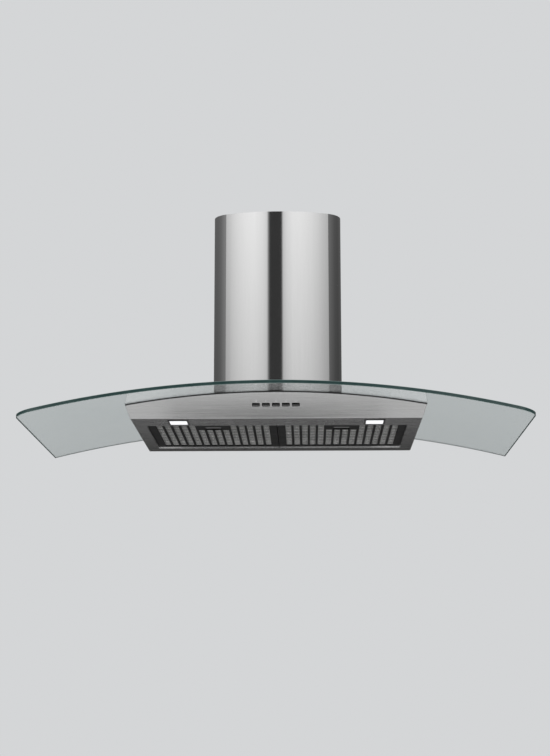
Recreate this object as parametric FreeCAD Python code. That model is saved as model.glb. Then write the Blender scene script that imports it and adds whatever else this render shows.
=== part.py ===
import FreeCAD, Part

import math
import os

# Curved glass range hood for a wall.
# +X is to the right of a person facing the hood, +Y goes into the wall, +Z is up, in millimetres.
# Heights are written above the body's underside, and save() lowers every piece so that the
# origin is the middle of the four wall fixing holes, on the wall plane.

# Sheet and glass
SHEET = 1.0                  # steel sheet of the body and of both chimneys
GLASS_WIDTH = 900.0
GLASS_DEPTH = 490.0          # from the wall to the front edge
GLASS_THICKNESS = 6.0
GLASS_BEND = 1870.0          # radius of the glass underside, bent about an axis along Y
GLASS_CROWN = 41.5           # underside of the glass above the body's underside, at the middle
GLASS_CORNER = 30.0          # front corners, seen from above
GLASS_WALL_GAP = 2.0
GLASS_NOTCH_GAP = 4.0        # around the motor box
GLASS_NOTCH_CORNER = 10.0
SEAL_THICKNESS = 2.0

# Glass bolts
BOLT_RADIUS = 3.0
BOLT_HOLE = 3.4
BOLT_HEAD_RADIUS = 8.0
BOLT_HEAD_HEIGHT = 3.5
BUSH_RADIUS = 5.8
BUSH_HOLE = 6.0              # hole in the glass
BUSH_FLANGE = 1.0
NUT_RADIUS = 5.5
NUT_HEIGHT = 4.0
BOLT_EDGE = 13.0             # bolt line to the body's side at the glass
BOLT_REAR = 60.0             # rear bolts to the wall
BOLT_FRONT_INSET = 26.0      # front bolts to the underside's front edge

# Body
BODY_WIDTH = 522.0           # at the underside
BODY_DEPTH = 376.0           # wall to the underside's front edge
PANEL_LEAN = 47.2            # front panel, degrees from upright
SIDE_LEAN = 18.5             # side walls, degrees from upright
FOLD = 3.5                   # outside radius of the folds
FLANGE_WIDTH = 22.0          # turned-in top edge that carries the glass
FLANGE_FOOT = 2.0            # front flange's inner edge to the underside's front edge
BODY_ROOM = 80.0             # more than the body's height at any place
DECK_GAP = 0.3

# Opening for the filters
SIDE_STRIP = 23.0            # underside beside the opening
FRONT_STRIP = 76.0           # underside in front of the opening
OPENING_REAR = 38.0          # wall to the opening's rear edge

# Filters
FILTER_GAP = 0.65            # at the sides, and half of the gap between the two filters
FILTER_END_GAP = 0.75        # at the front and the rear
FILTER_BOTTOM = 3.0          # above the underside
FILTER_HEIGHT = 9.0
FILTER_SHEET = 1.0
FILTER_LIP = 8.0
STRIP_COUNT = 14
STRIP_WIDTH = 10.7
STRIP_BORDER = 14.45         # frame beside the first and last strips
STRIP_FRONT_BORDER = 15.0
STRIP_REAR_BORDER = 12.0
HINGE_RADIUS = 1.5           # rounded rear edge that the filter turns about
TAB_WIDTH = 20.0
TAB_SPREAD = 70.0            # tab centre to filter centre
TAB_RISE = 2.0               # above the filter's face
TAB_THICKNESS = 1.2
TAB_REACH = 3.55
TAB_SIDE_GAP = 1.0
TAB_UNDER_GAP = 1.0
TAB_OVER_GAP = 4.0           # room for the tab when the filter swings down
MESH_THICKNESS = 1.0
MESH_GAP = 0.4
MESH_EDGE = 1.05             # mesh left at each side of a strip
MESH_ROWS = 19
MESH_BAR = 3.4

# Filter latches
LATCH_PLATE_WIDTH = 63.6
LATCH_PLATE_EDGE = 2.0       # plate left behind the recess
LATCH_WIDTH = 29.0
LATCH_SETBACK = 35.0         # opening's front edge to the latch
LATCH_LENGTH = 23.0
LATCH_RISE = 2.0             # above the filter's face
LATCH_THICKNESS = 4.0
LATCH_TRAVEL = 5.0
LATCH_GAP = 0.6
LATCH_LIP = 2.5
LATCH_LIP_DROP = 1.6
TONGUE_WIDTH = 12.0
TONGUE_THICKNESS = 2.0
TONGUE_GAP = 0.4
TONGUE_SHORT = 0.6           # tongue tip to the opening's hem
SPRING_STRIP = 0.4
SPRING_SPAN = 26.0
SPRING_GAP = 0.1

# Buttons and switches, measured along the front panel from the underside's front edge
BUTTON_COUNT = 5
BUTTON_PITCH = 17.7
BUTTON_SLOT_WIDTH = 14.0
BUTTON_SLOT_HEIGHT = 8.0
BUTTON_SLOT_CORNER = 1.5
BUTTON_LINE = 30.2           # up the panel to the middle of the buttons
BUTTON_GAP = 0.3
BUTTON_RECESS = 0.6
BUTTON_TRAVEL = 3.0
BUTTON_FLANGE = 1.0          # how much wider the retaining flange is than the slot, and its thickness
BUTTON_PLAY = 0.2            # between the flange and the panel
BUTTON_STOP_GAP = 0.8        # flange to the switch block when pressed
STEM_WIDTH = 4.0
STEM_LENGTH = 6.6
STEM_GAP = 0.3
STEM_END_GAP = 1.2
SWITCH_HEIGHT = 12.0
SWITCH_FOOT = 6.0
SWITCH_END = 3.0

# Lamps
LAMP_EDGE = 61.0             # opening's side edge to the lamp's middle
LAMP_SETBACK = 36.0          # opening's front edge to the lamp's middle
LENS_WIDTH = 31.6
LENS_DEPTH = 41.6
LENS_THICKNESS = 2.0
LENS_GAP = 0.2
LAMP_WALL = 0.9
LAMP_FLANGE = 1.8            # how far the bezel's flange overlaps the sheet
LAMP_FLANGE_HEIGHT = 1.0
LAMP_SKIRT = 8.0
LAMP_HOUSING_HEIGHT = 12.0

# Motor box and fixings
BOX_SIDE_ROOM = 13.0         # motor box's side to the chimney's outside
BOX_FRONT_ROOM = 40.0        # motor box's front to the front of the chimney's bow
BOX_TOP = 300.0
BOX_FLANGE = 12.0
MOUTH_EDGE = 8.0             # deck left inside the motor box walls
FIXING_HEIGHT = 180.0        # middle of the wall fixing holes above the underside
FIXING_SPACING = 180.0       # both ways
FIXING_RADIUS = 4.0
DECK_SCREW_RADIUS = 2.0
DECK_SCREW_HEAD = 4.0
DECK_SCREW_HEAD_HEIGHT = 2.2
DECK_SCREW_END = 1.2         # beyond the motor box's flange, under the glass
SCREW_GAP = 0.15

# Fan
FAN_SHIFT = -1.0             # fan's axis to the middle of the motor box
FAN_Z = 150.0
SCROLL_SIDE = 10.0           # impeller's end to the housing's outer face
SCROLL_FRONT_ROOM = 10.0     # fan housing to the motor box's front
INLET_ROOM = 42.0            # fan housing to the motor box's side, where the air goes in
SCROLL_SHEET = 1.2
SCROLL_STEP = 8.0            # growth of the housing's radius at each quarter
SCROLL_GAP = 8.0             # impeller to the housing where it is tightest
INLET_EDGE = 4.0             # inlet's radius beyond the blades' inner ends
IMPELLER_RING = 2.0
BLADE_COUNT = 36
BLADE_LENGTH = 12.0
BLADE_THICKNESS = 1.0
BLADE_ANGLE = 30.0
HUB_RADIUS = 9.0
HUB_START = -4.0
HUB_END = 14.0
SHAFT_RADIUS = 4.0
SHAFT_CLEARANCE = 0.05
SHAFT_START = -58.0
MOTOR_RADIUS = 42.0
MOTOR_FRONT = -12.0
MOTOR_BOSS_RADIUS = 14.0
MOTOR_BOSS_FRONT = -8.0
BRACKET_THICKNESS = 2.0
BRACKET_RADIUS = 48.0
BRACKET_HOLE = 20.0
BRACKET_ARM = 14.0
BRACKET_ANGLES = (15.0, 130.0, 245.0)
RUBBER_EDGE = 12.0           # bush centres beyond the inlet's radius
RUBBER_RADIUS = 6.0
RUBBER_LENGTH = 6.0
RUBBER_SCREW = 2.0
RUBBER_SCREW_GAP = 0.3
RUBBER_SCREW_HEAD = 4.0
RUBBER_SCREW_END = 5.0

# Outlet
COLLAR_EDGE = 3.0            # collar's flange to the motor box's front
COLLAR_RADIUS = 74.5         # outside, for a duct of 150 mm
COLLAR_WALL = 1.5
COLLAR_HEIGHT = 45.0
COLLAR_FLANGE_WIDTH = 9.5
COLLAR_FLANGE_THICKNESS = 1.5
ADAPTER_HEIGHT = 38.0
ADAPTER_CORNER = 20.0
ADAPTER_CORNER_TURN = 30.0   # share of the round end that meets each corner, in degrees
PIN_RADIUS = 1.5
PIN_HEIGHT = 16.0            # above the motor box's lid
PIN_CLEARANCE = 0.05
KNUCKLE_RADIUS = 3.0
KNUCKLE_GAP = 0.5
FLAP_ROOT = 3.6
FLAP_THICKNESS = 1.2
FLAP_GAP = 1.0
KNUCKLE_END_GAP = 7.0        # outer knuckles to the collar's bore

# Electrical parts
CONTROL_EDGE = 1.0           # to the motor box's side
CONTROL_WIDTH = 28.0
CONTROL_GAP = 2.4            # to the collar's flange
CONTROL_REAR = -10.0
CONTROL_HEIGHT = 38.0
CONTROL_WALL = 1.5
CONTROL_LID = 2.0
GLAND_SETBACK = 18.0         # behind the control box's rear wall
GLAND_RADIUS = 9.0
GLAND_NECK = 6.5
GLAND_BORE = 4.2
GLAND_HEIGHT = 12.0
GLAND_NECK_LENGTH = 7.0
GLAND_GAP = 0.1
CAPACITOR_RADIUS = 16.0
CAPACITOR_LENGTH = 37.0
CAPACITOR_SETBACK = 32.0     # from the motor box's front
CAPACITOR_Z = 75.0
STUD_RADIUS = 4.0
STUD_GAP = 0.3
STUD_LENGTH = 7.0
STUD_NUT_ACROSS = 13.0
STUD_NUT_HEIGHT = 4.0
LOOM_RADIUS = 2.5
LOOM_SETBACK = 17.0          # from the gland
LOOM_BEND = 25.0
LOOM_GAP = 0.5
LOOM_END = 5.0               # loom's end above the control box's floor
LOOM_LINE = 27.0             # up the panel, where the loom leaves the switch block
LAMP_CABLE_RADIUS = 2.0
LAMP_CABLE_BEND = 16.0
LAMP_CABLE_LINE = 33.0       # up the panel, where the lamp cables leave the switch block
LAMP_CABLE_SHIFT = 10.0      # in front of the lamp's middle
LAMP_CABLE_KNEE = 7.0        # the loom's line to the knee by the switches, outside it
LAMP_CABLE_SHARE = 0.5       # of the way from that knee to the lamp, where the other knee is

# Chimneys
CHIMNEY_WIDTH = 242.0
CHIMNEY_DEPTH = 262.0        # wall to the front of the bow
CHIMNEY_BOW = 261.0          # radius of the bowed front
CHIMNEY_CORNER = 38.0
CHIMNEY_TOP = 419.0
CHIMNEY_GLASS_GAP = 0.3
CHIMNEY_SLIDE_GAP = 2.5      # between the two chimneys
UPPER_DROP = 3.0             # upper chimney's top below the lower one's
UPPER_LENGTH = 350.0
SPACER_Y = -60.0
SPACER_LENGTH = 20.0
SPACER_HEIGHT = 14.0
BRACKET_SHEET = 1.5
BRACKET_GAP = 0.3
BRACKET_DROP = 31.0          # bracket's lower edge below the upper chimney's top
BRACKET_TALL = 20.0
BRACKET_REACH = 40.0
BRACKET_HOLE_SPACING = 120.0
BRACKET_HOLE_RADIUS = 3.0
CHIMNEY_SCREW_Y = -25.0
CHIMNEY_SCREW_RADIUS = 2.0
CHIMNEY_SCREW_HEAD = 4.0
CHIMNEY_SCREW_HEAD_HEIGHT = 1.8
CHIMNEY_SCREW_LENGTH = 8.0

PAST = 5.0                   # how far a cutting tool runs past a face
CLOSE = 0.01                 # points closer than this are the same

# Worked out from the sizes above
BOX_WIDTH = CHIMNEY_WIDTH - 2 * BOX_SIDE_ROOM
BOX_DEPTH = CHIMNEY_DEPTH - BOX_FRONT_ROOM
BEND_CENTRE_Z = GLASS_CROWN - GLASS_BEND
HALF_BODY = BODY_WIDTH / 2
SIDE_HEIGHT = GLASS_CROWN - SEAL_THICKNESS - HALF_BODY ** 2 / (2 * GLASS_BEND)
GLASS_TOP_BEND = GLASS_BEND + GLASS_THICKNESS
FLANGE_BEND = GLASS_BEND - SEAL_THICKNESS
DECK_BEND = FLANGE_BEND - SHEET
DECK_UNDER_BEND = DECK_BEND - SHEET
BODY_TOP_HALF = HALF_BODY + SIDE_HEIGHT * math.tan(math.radians(SIDE_LEAN))
BOLT_FRONT = BODY_DEPTH - BOLT_FRONT_INSET
BOLT_ANGLE = math.degrees(math.asin((BODY_TOP_HALF - BOLT_EDGE) / GLASS_BEND))
OPENING_WIDTH = BODY_WIDTH - 2 * SIDE_STRIP
LAMP_X = OPENING_WIDTH / 2 - LAMP_EDGE
OPENING_FRONT = BODY_DEPTH - FRONT_STRIP
FILTER_WIDTH = OPENING_WIDTH / 2 - 2 * FILTER_GAP
FILTER_X = OPENING_WIDTH / 4
FILTER_FRONT_Y = -OPENING_FRONT + FILTER_END_GAP
FILTER_REAR_Y = -OPENING_REAR - FILTER_END_GAP
FILTER_TOP = FILTER_BOTTOM + FILTER_HEIGHT
STRIP_PITCH = (FILTER_WIDTH - 2 * STRIP_BORDER - STRIP_WIDTH) / (STRIP_COUNT - 1)
STRIP_FRONT = OPENING_FRONT - STRIP_FRONT_BORDER
STRIP_REAR = OPENING_REAR + STRIP_REAR_BORDER
TAB_BOTTOM = FILTER_BOTTOM + TAB_RISE
LATCH_FRONT = OPENING_FRONT - LATCH_SETBACK
LATCH_REAR = LATCH_FRONT - LATCH_LENGTH
LATCH_BOTTOM = FILTER_BOTTOM + LATCH_RISE
LATCH_TOP = LATCH_BOTTOM + LATCH_THICKNESS
TONGUE_BOTTOM = (LATCH_BOTTOM + LATCH_TOP - TONGUE_THICKNESS) / 2
TONGUE_TOP = TONGUE_BOTTOM + TONGUE_THICKNESS
POCKET_REAR_Y = -LATCH_REAR + LATCH_TRAVEL + LATCH_GAP
LATCH_PLATE_REAR = -POCKET_REAR_Y - LATCH_PLATE_EDGE
SWITCH_WIDTH = (BUTTON_COUNT - 1) * BUTTON_PITCH + BUTTON_SLOT_WIDTH + 2 * SWITCH_END
FLANGE_BACK = SHEET + BUTTON_PLAY + BUTTON_FLANGE
SWITCH_FRONT = FLANGE_BACK + BUTTON_TRAVEL + BUTTON_STOP_GAP
SWITCH_BACK = FLANGE_BACK + STEM_LENGTH + BUTTON_TRAVEL + STEM_END_GAP + SHEET
LAMP_Y = -OPENING_FRONT - LAMP_SETBACK
SKIRT_WIDTH = LENS_WIDTH + 2 * (LENS_GAP + LAMP_WALL)
SKIRT_DEPTH = LENS_DEPTH + 2 * (LENS_GAP + LAMP_WALL)
FAN_Y = -BOX_DEPTH / 2 + FAN_SHIFT
IMPELLER_RADIUS = BOX_DEPTH / 2 + FAN_SHIFT - 2.5 * SCROLL_STEP - SCROLL_GAP - SCROLL_FRONT_ROOM
IMPELLER_WIDTH = BOX_WIDTH - 2 * INLET_ROOM - 2 * SCROLL_SIDE
IMPELLER_BORE = IMPELLER_RADIUS - BLADE_LENGTH
SCROLL_RADIUS = IMPELLER_RADIUS + SCROLL_GAP
SCROLL_WIDTH = IMPELLER_WIDTH + 2 * SCROLL_SIDE
SCROLL_TOP = BOX_TOP - ADAPTER_HEIGHT
INLET_RADIUS = IMPELLER_BORE + INLET_EDGE
RUBBER_CIRCLE = INLET_RADIUS + RUBBER_EDGE
MOTOR_BACK = -SCROLL_WIDTH / 2 - RUBBER_LENGTH
LID_TOP = BOX_TOP + SHEET
COLLAR_FLANGE = COLLAR_RADIUS + COLLAR_FLANGE_WIDTH
DUCT_Y = -BOX_DEPTH + COLLAR_FLANGE + COLLAR_EDGE
COLLAR_TOP = LID_TOP + COLLAR_HEIGHT
COLLAR_BORE = COLLAR_RADIUS - COLLAR_WALL
PIN_Z = LID_TOP + PIN_HEIGHT
KNUCKLE_END = COLLAR_BORE - KNUCKLE_END_GAP
CONTROL_X = BOX_WIDTH / 2 - CONTROL_EDGE - CONTROL_WIDTH
CONTROL_FRONT = DUCT_Y + math.sqrt(max(0, (COLLAR_FLANGE + CONTROL_GAP) ** 2 - CONTROL_X ** 2))
CONTROL_MIDDLE_X = CONTROL_X + CONTROL_WIDTH / 2
CONTROL_TOP = LID_TOP + CONTROL_HEIGHT
GLAND_Y = CONTROL_REAR - GLAND_SETBACK
LOOM_Y = GLAND_Y - LOOM_SETBACK
CAPACITOR_Y = -BOX_DEPTH + CAPACITOR_SETBACK
UPPER_INSET = SHEET + CHIMNEY_SLIDE_GAP
UPPER_TOP = CHIMNEY_TOP - UPPER_DROP
UPPER_BOTTOM = UPPER_TOP - UPPER_LENGTH
BRACKET_BOTTOM = UPPER_TOP - BRACKET_DROP
BRACKET_Z = BRACKET_BOTTOM + BRACKET_TALL / 2

V = FreeCAD.Vector
X_AXIS = V(1, 0, 0)
Y_AXIS = V(0, 1, 0)
Z_AXIS = V(0, 0, 1)


# Simple shapes

def box(x0, x1, y0, y1, z0, z1):
    return Part.makeBox(x1 - x0, y1 - y0, z1 - z0, V(x0, y0, z0))


def centred_box(x, width, y, depth, z0, z1):
    return box(x - width / 2, x + width / 2, y - depth / 2, y + depth / 2, z0, z1)


def rod_x(radius, x0, x1, y, z):
    return Part.makeCylinder(radius, x1 - x0, V(x0, y, z), X_AXIS)


def rod_y(radius, y0, y1, x, z):
    return Part.makeCylinder(radius, y1 - y0, V(x, y0, z), Y_AXIS)


def rod_z(radius, z0, z1, x, y):
    return Part.makeCylinder(radius, z1 - z0, V(x, y, z0), Z_AXIS)


def arc(start, middle, end):
    return Part.Arc(start, middle, end).toShape()


def line(start, end):
    return Part.makeLine(start, end)


def face_of(edges):
    return Part.Face(Part.Wire(edges))


def joined(pieces):
    return pieces[0].multiFuse(pieces[1:]).removeSplitter()


def mirrored(shape):
    return shape.mirror(V(0, 0, 0), X_AXIS)


def both_sides(shape):
    return [shape, mirrored(shape)]


def save(name, shape):
    """Writes one piece, or a group of separate solids, lowered to the origin."""
    piece = shape if isinstance(shape, Part.Shape) else Part.makeCompound(shape)
    placed = piece.copy()
    placed.translate(V(0, 0, -FIXING_HEIGHT))
    if not placed.isValid():
        print("not valid:", name)
    print(name, len(placed.Solids), round(placed.Volume))
    placed.exportStep("parts/" + name + ".step")


# The bent surfaces that the glass, the seal, the deck and the chimney share

def bend_z(radius, x):
    return BEND_CENTRE_Z + math.sqrt(radius ** 2 - x ** 2)


def under_bend(radius, half_width, low, y0, y1):
    """Everything under the bent surface of this radius, down to a height."""
    edge_z = bend_z(radius, half_width)
    left = V(-half_width, y0, edge_z)
    right = V(half_width, y0, edge_z)
    low_left = V(-half_width, y0, low)
    low_right = V(half_width, y0, low)
    crown = V(0, y0, bend_z(radius, 0))
    edges = [arc(left, crown, right), line(right, low_right), line(low_right, low_left), line(low_left, left)]
    return face_of(edges).extrude(V(0, y1 - y0, 0))


def bent_plate(under, top, half_width, y0, y1):
    """A plate between two bent surfaces, with upright side edges."""
    low = bend_z(under, half_width) - BODY_ROOM
    plate = under_bend(top, half_width, low, y0, y1)
    return plate.cut(under_bend(under, half_width + PAST, low - PAST, y0 - PAST, y1 + PAST))


def on_bend(shape):
    """Four copies of a piece made at the glass's middle, turned and moved to the glass bolts."""
    copies = []
    for angle in (-BOLT_ANGLE, BOLT_ANGLE):
        for wall_distance in (BOLT_REAR, BOLT_FRONT):
            copy = shape.copy()
            copy.rotate(V(0, 0, BEND_CENTRE_Z), Y_AXIS, angle)
            copy.translate(V(0, -wall_distance, 0))
            copies.append(copy)
    return copies


def bolt_holes(radius):
    return on_bend(rod_z(radius, GLASS_CROWN - BOLT_EDGE, GLASS_CROWN + BODY_ROOM, 0, 0))


# Glass canopy

def canopy_plan():
    """The glass seen from above: rounded front corners, and a notch for the motor box at the rear."""
    half = GLASS_WIDTH / 2
    notch = BOX_WIDTH / 2 + GLASS_NOTCH_GAP
    rear = -GLASS_WALL_GAP
    deep = -BOX_DEPTH - GLASS_NOTCH_GAP
    corners = [(notch, rear, 0), (half, rear, 0), (half, -GLASS_DEPTH, GLASS_CORNER),
               (-half, -GLASS_DEPTH, GLASS_CORNER), (-half, rear, 0), (-notch, rear, 0),
               (-notch, deep, GLASS_NOTCH_CORNER), (notch, deep, GLASS_NOTCH_CORNER)]
    return rounded_outline(corners, -BODY_ROOM)


def rounded_outline(corners, z):
    """A face from (x, y, radius) corners with right angles, each rounded where its radius isn't 0."""
    edges = []
    spots = []
    for i, (x, y, radius) in enumerate(corners):
        before = corners[i - 1]
        after = corners[(i + 1) % len(corners)]
        here = V(x, y, z)
        back = (V(before[0], before[1], z) - here).normalize()
        ahead = (V(after[0], after[1], z) - here).normalize()
        middle = here + (back + ahead) * (radius * (1 - math.sqrt(0.5)))
        spots.append((here + back * radius, middle, here + ahead * radius, radius))
    for i, (first, middle, last, radius) in enumerate(spots):
        edges.append(line(spots[i - 1][2], first))
        if radius:
            edges.append(arc(first, middle, last))
    return face_of(edges)


def glass_canopy():
    glass = bent_plate(GLASS_BEND, GLASS_TOP_BEND, GLASS_WIDTH / 2 + PAST, -GLASS_DEPTH - PAST, PAST)
    glass = glass.common(canopy_plan().extrude(V(0, 0, 2 * BODY_ROOM)))
    return glass.cut(bolt_holes(BUSH_HOLE))


def glass_seal():
    """Rubber strip between the body's top flange and the glass."""
    seal = bent_plate(FLANGE_BEND, GLASS_BEND, BODY_TOP_HALF + PAST, -GLASS_DEPTH, -SHEET)
    seal = seal.common(body_block(0, -SHEET, GLASS_BEND))
    return seal.cut(flange_window()).cut(bolt_holes(BOLT_HOLE))


def glass_bolts():
    head_z = GLASS_CROWN + GLASS_THICKNESS + BUSH_FLANGE
    head = rod_z(BOLT_HEAD_RADIUS, head_z, head_z + BOLT_HEAD_HEIGHT, 0, 0)
    rim = [e for e in head.Edges if e.BoundBox.ZMin > head_z + BOLT_HEAD_HEIGHT / 2]
    head = head.makeFillet(BOLT_HEAD_HEIGHT / 2, rim)
    under = GLASS_CROWN - SEAL_THICKNESS - 2 * SHEET - NUT_HEIGHT - SHEET
    return on_bend(joined([head, rod_z(BOLT_RADIUS, under, head_z, 0, 0)]))


def glass_bushes():
    top = GLASS_CROWN + GLASS_THICKNESS
    sleeve = rod_z(BUSH_RADIUS, GLASS_CROWN, top, 0, 0)
    flange = rod_z(BOLT_HEAD_RADIUS, top, top + BUSH_FLANGE, 0, 0)
    bore = rod_z(BOLT_RADIUS + SCREW_GAP, 0, top + PAST, 0, 0)
    return on_bend(joined([sleeve, flange]).cut(bore))


def glass_nuts():
    top = GLASS_CROWN - SEAL_THICKNESS - 2 * SHEET - SCREW_GAP
    nut = hexagon(NUT_RADIUS).extrude(V(0, 0, NUT_HEIGHT))
    nut.translate(V(0, 0, top - NUT_HEIGHT))
    return on_bend(nut.cut(rod_z(BOLT_RADIUS, 0, BODY_ROOM, 0, 0)))


def hexagon(corner_radius):
    points = [V(corner_radius * math.cos(math.radians(60 * i)),
                corner_radius * math.sin(math.radians(60 * i)), 0) for i in range(7)]
    return Part.Face(Part.makePolygon(points))


# Body

def planar_block(inset, rear, top):
    """The body's outside between its flat faces, each moved inwards by inset."""
    lean = math.tan(math.radians(PANEL_LEAN))
    front = -BODY_DEPTH + inset / math.cos(math.radians(PANEL_LEAN))
    reach = BODY_WIDTH
    outline = [V(-reach, front - inset * lean, inset), V(-reach, front - top * lean, top),
               V(-reach, rear, top), V(-reach, rear, inset), V(-reach, front - inset * lean, inset)]
    along = Part.Face(Part.makePolygon(outline)).extrude(V(2 * reach, 0, 0))
    lean = math.tan(math.radians(SIDE_LEAN))
    side = BODY_WIDTH / 2 - inset / math.cos(math.radians(SIDE_LEAN))
    wide = -GLASS_DEPTH
    outline = [V(-side - inset * lean, wide, inset), V(side + inset * lean, wide, inset),
               V(side + top * lean, wide, top), V(-side - top * lean, wide, top),
               V(-side - inset * lean, wide, inset)]
    across = Part.Face(Part.makePolygon(outline)).extrude(V(0, 2 * GLASS_DEPTH, 0))
    return along.common(across)


def is_fold(edge, low, rear):
    """True for the underside's front and side edges and the two front corners."""
    at_low = [v.Point for v in edge.Vertexes if abs(v.Point.z - low) < CLOSE]
    return any(p.y < rear - SHEET for p in at_low)


def body_block(inset, rear, top_radius):
    block = planar_block(inset, rear, BODY_ROOM)
    folds = [e for e in block.Edges if is_fold(e, inset, rear)]
    block = block.makeFillet(FOLD - inset, folds)
    return block.common(under_bend(top_radius, BODY_WIDTH, -BODY_WIDTH, -GLASS_DEPTH, PAST))


def flange_window():
    """The space inside the body's top flange, open to the rear."""
    inside = BODY_TOP_HALF - FLANGE_WIDTH
    return box(-inside, inside, -BODY_DEPTH - FLANGE_FOOT, PAST, -BODY_ROOM, BODY_ROOM)


def on_panel(shape):
    """Turns a piece from the front panel's own frame: X across, Y up the panel, Z outwards."""
    placed = shape.copy()
    placed.rotate(V(0, 0, 0), X_AXIS, 90 + PANEL_LEAN)
    placed.translate(V(0, -BODY_DEPTH, 0))
    return placed


def button_x(index):
    return (index - (BUTTON_COUNT - 1) / 2) * BUTTON_PITCH


def button_block(index, gap, z0, z1):
    """The button slot's rounded shape, smaller by a gap all round."""
    block = centred_box(button_x(index), BUTTON_SLOT_WIDTH - 2 * gap, BUTTON_LINE,
                        BUTTON_SLOT_HEIGHT - 2 * gap, z0, z1)
    upright = [e for e in block.Edges if e.BoundBox.ZLength > CLOSE]
    return block.makeFillet(BUTTON_SLOT_CORNER - gap, upright)


def button_slots():
    return [on_panel(button_block(i, 0, -PAST, PAST)) for i in range(BUTTON_COUNT)]


def tab_slots():
    """Slots in the opening's rear hem for the filters' tabs."""
    slots = []
    for x in tab_places():
        slots.append(box(x - TAB_WIDTH / 2 - TAB_SIDE_GAP, x + TAB_WIDTH / 2 + TAB_SIDE_GAP,
                         -OPENING_REAR - SHEET / 2, -OPENING_REAR + 2 * SHEET,
                         TAB_BOTTOM - TAB_UNDER_GAP, TAB_BOTTOM + TAB_THICKNESS + TAB_OVER_GAP))
    return slots


def tab_places():
    return [side * (FILTER_X + shift) for side in (-1, 1) for shift in (-TAB_SPREAD, TAB_SPREAD)]


def body_shell():
    shell = body_block(0, -SHEET, FLANGE_BEND).cut(body_block(SHEET, PAST, GLASS_BEND))
    flange = body_block(0, -SHEET, FLANGE_BEND).common(
        bent_plate(DECK_BEND, FLANGE_BEND, BODY_WIDTH, -GLASS_DEPTH, PAST))
    flange = flange.cut(flange_window())
    half = OPENING_WIDTH / 2
    window = box(-half, half, -OPENING_FRONT, -OPENING_REAR, -PAST, FILTER_TOP + PAST)
    hem = box(-half - SHEET, half + SHEET, -OPENING_FRONT - SHEET, -OPENING_REAR + SHEET, 0, FILTER_TOP)
    shell = joined([shell, flange, hem]).cut(window)
    lamp_holes = both_sides(centred_box(LAMP_X, SKIRT_WIDTH + 2 * LENS_GAP, LAMP_Y,
                                        SKIRT_DEPTH + 2 * LENS_GAP, -PAST, PAST))
    return shell.cut(lamp_holes + button_slots() + tab_slots() + bolt_holes(BOLT_HOLE))


def body_back_panel():
    block = body_block(0, 0, DECK_BEND)
    return block.common(box(-BODY_WIDTH, BODY_WIDTH, -SHEET, 0, 0, BODY_ROOM))


def deck_screw_places():
    side = BOX_WIDTH / 2 + BOX_FLANGE / 2
    front = -BOX_DEPTH - BOX_FLANGE / 2
    places = [(x, y) for x in (-side, side) for y in (-BOX_DEPTH / 6, -BOX_DEPTH * 5 / 6)]
    return places + [(x, front) for x in (-BOX_WIDTH / 4, BOX_WIDTH / 4)]


def deck_screw_holes():
    return [rod_z(DECK_SCREW_RADIUS + SCREW_GAP, 0, BODY_ROOM, x, y) for x, y in deck_screw_places()]


def body_deck():
    """Bent plate that closes the body's top and carries the motor box."""
    deck = bent_plate(DECK_UNDER_BEND, DECK_BEND, BODY_WIDTH, -GLASS_DEPTH, -SHEET - DECK_GAP)
    deck = deck.common(body_block(SHEET + DECK_GAP, -SHEET - DECK_GAP, GLASS_BEND))
    mouth_x = BOX_WIDTH / 2 - MOUTH_EDGE
    mouth = box(-mouth_x, mouth_x, -BOX_DEPTH + MOUTH_EDGE, -MOUTH_EDGE, 0, BODY_ROOM)
    return deck.cut([mouth] + deck_screw_holes() + bolt_holes(BOLT_HOLE))


def body_screws():
    """Screws from under the deck into the motor box's flange."""
    screws = []
    for x, y in deck_screw_places():
        head_top = bend_z(DECK_UNDER_BEND, abs(x) + DECK_SCREW_HEAD)
        tip = bend_z(FLANGE_BEND, x) + DECK_SCREW_END
        head = rod_z(DECK_SCREW_HEAD, head_top - DECK_SCREW_HEAD_HEIGHT, head_top, x, y)
        screws.append(joined([head, rod_z(DECK_SCREW_RADIUS, head_top, tip, x, y)]))
    return screws


# Filters: the right one is built, and the left one is its mirror image

def filter_outer(shrink, low, high):
    return box(FILTER_X - FILTER_WIDTH / 2 + shrink, FILTER_X + FILTER_WIDTH / 2 - shrink,
               FILTER_FRONT_Y + shrink, FILTER_REAR_Y - shrink, low, high)


def latch_plate_space(gap, low, high):
    half = LATCH_PLATE_WIDTH / 2 + gap
    return box(FILTER_X - half, FILTER_X + half, FILTER_FRONT_Y + FILTER_SHEET, -LATCH_PLATE_REAR + gap,
               low, high)


def tongue_space(gap):
    half = TONGUE_WIDTH / 2 + gap
    return box(FILTER_X - half, FILTER_X + half, FILTER_FRONT_Y - PAST, -LATCH_FRONT,
               TONGUE_BOTTOM - gap, TONGUE_TOP + gap)


def strip_start(index):
    first = FILTER_X - ((STRIP_COUNT - 1) * STRIP_PITCH + STRIP_WIDTH) / 2
    return first + index * STRIP_PITCH


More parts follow.
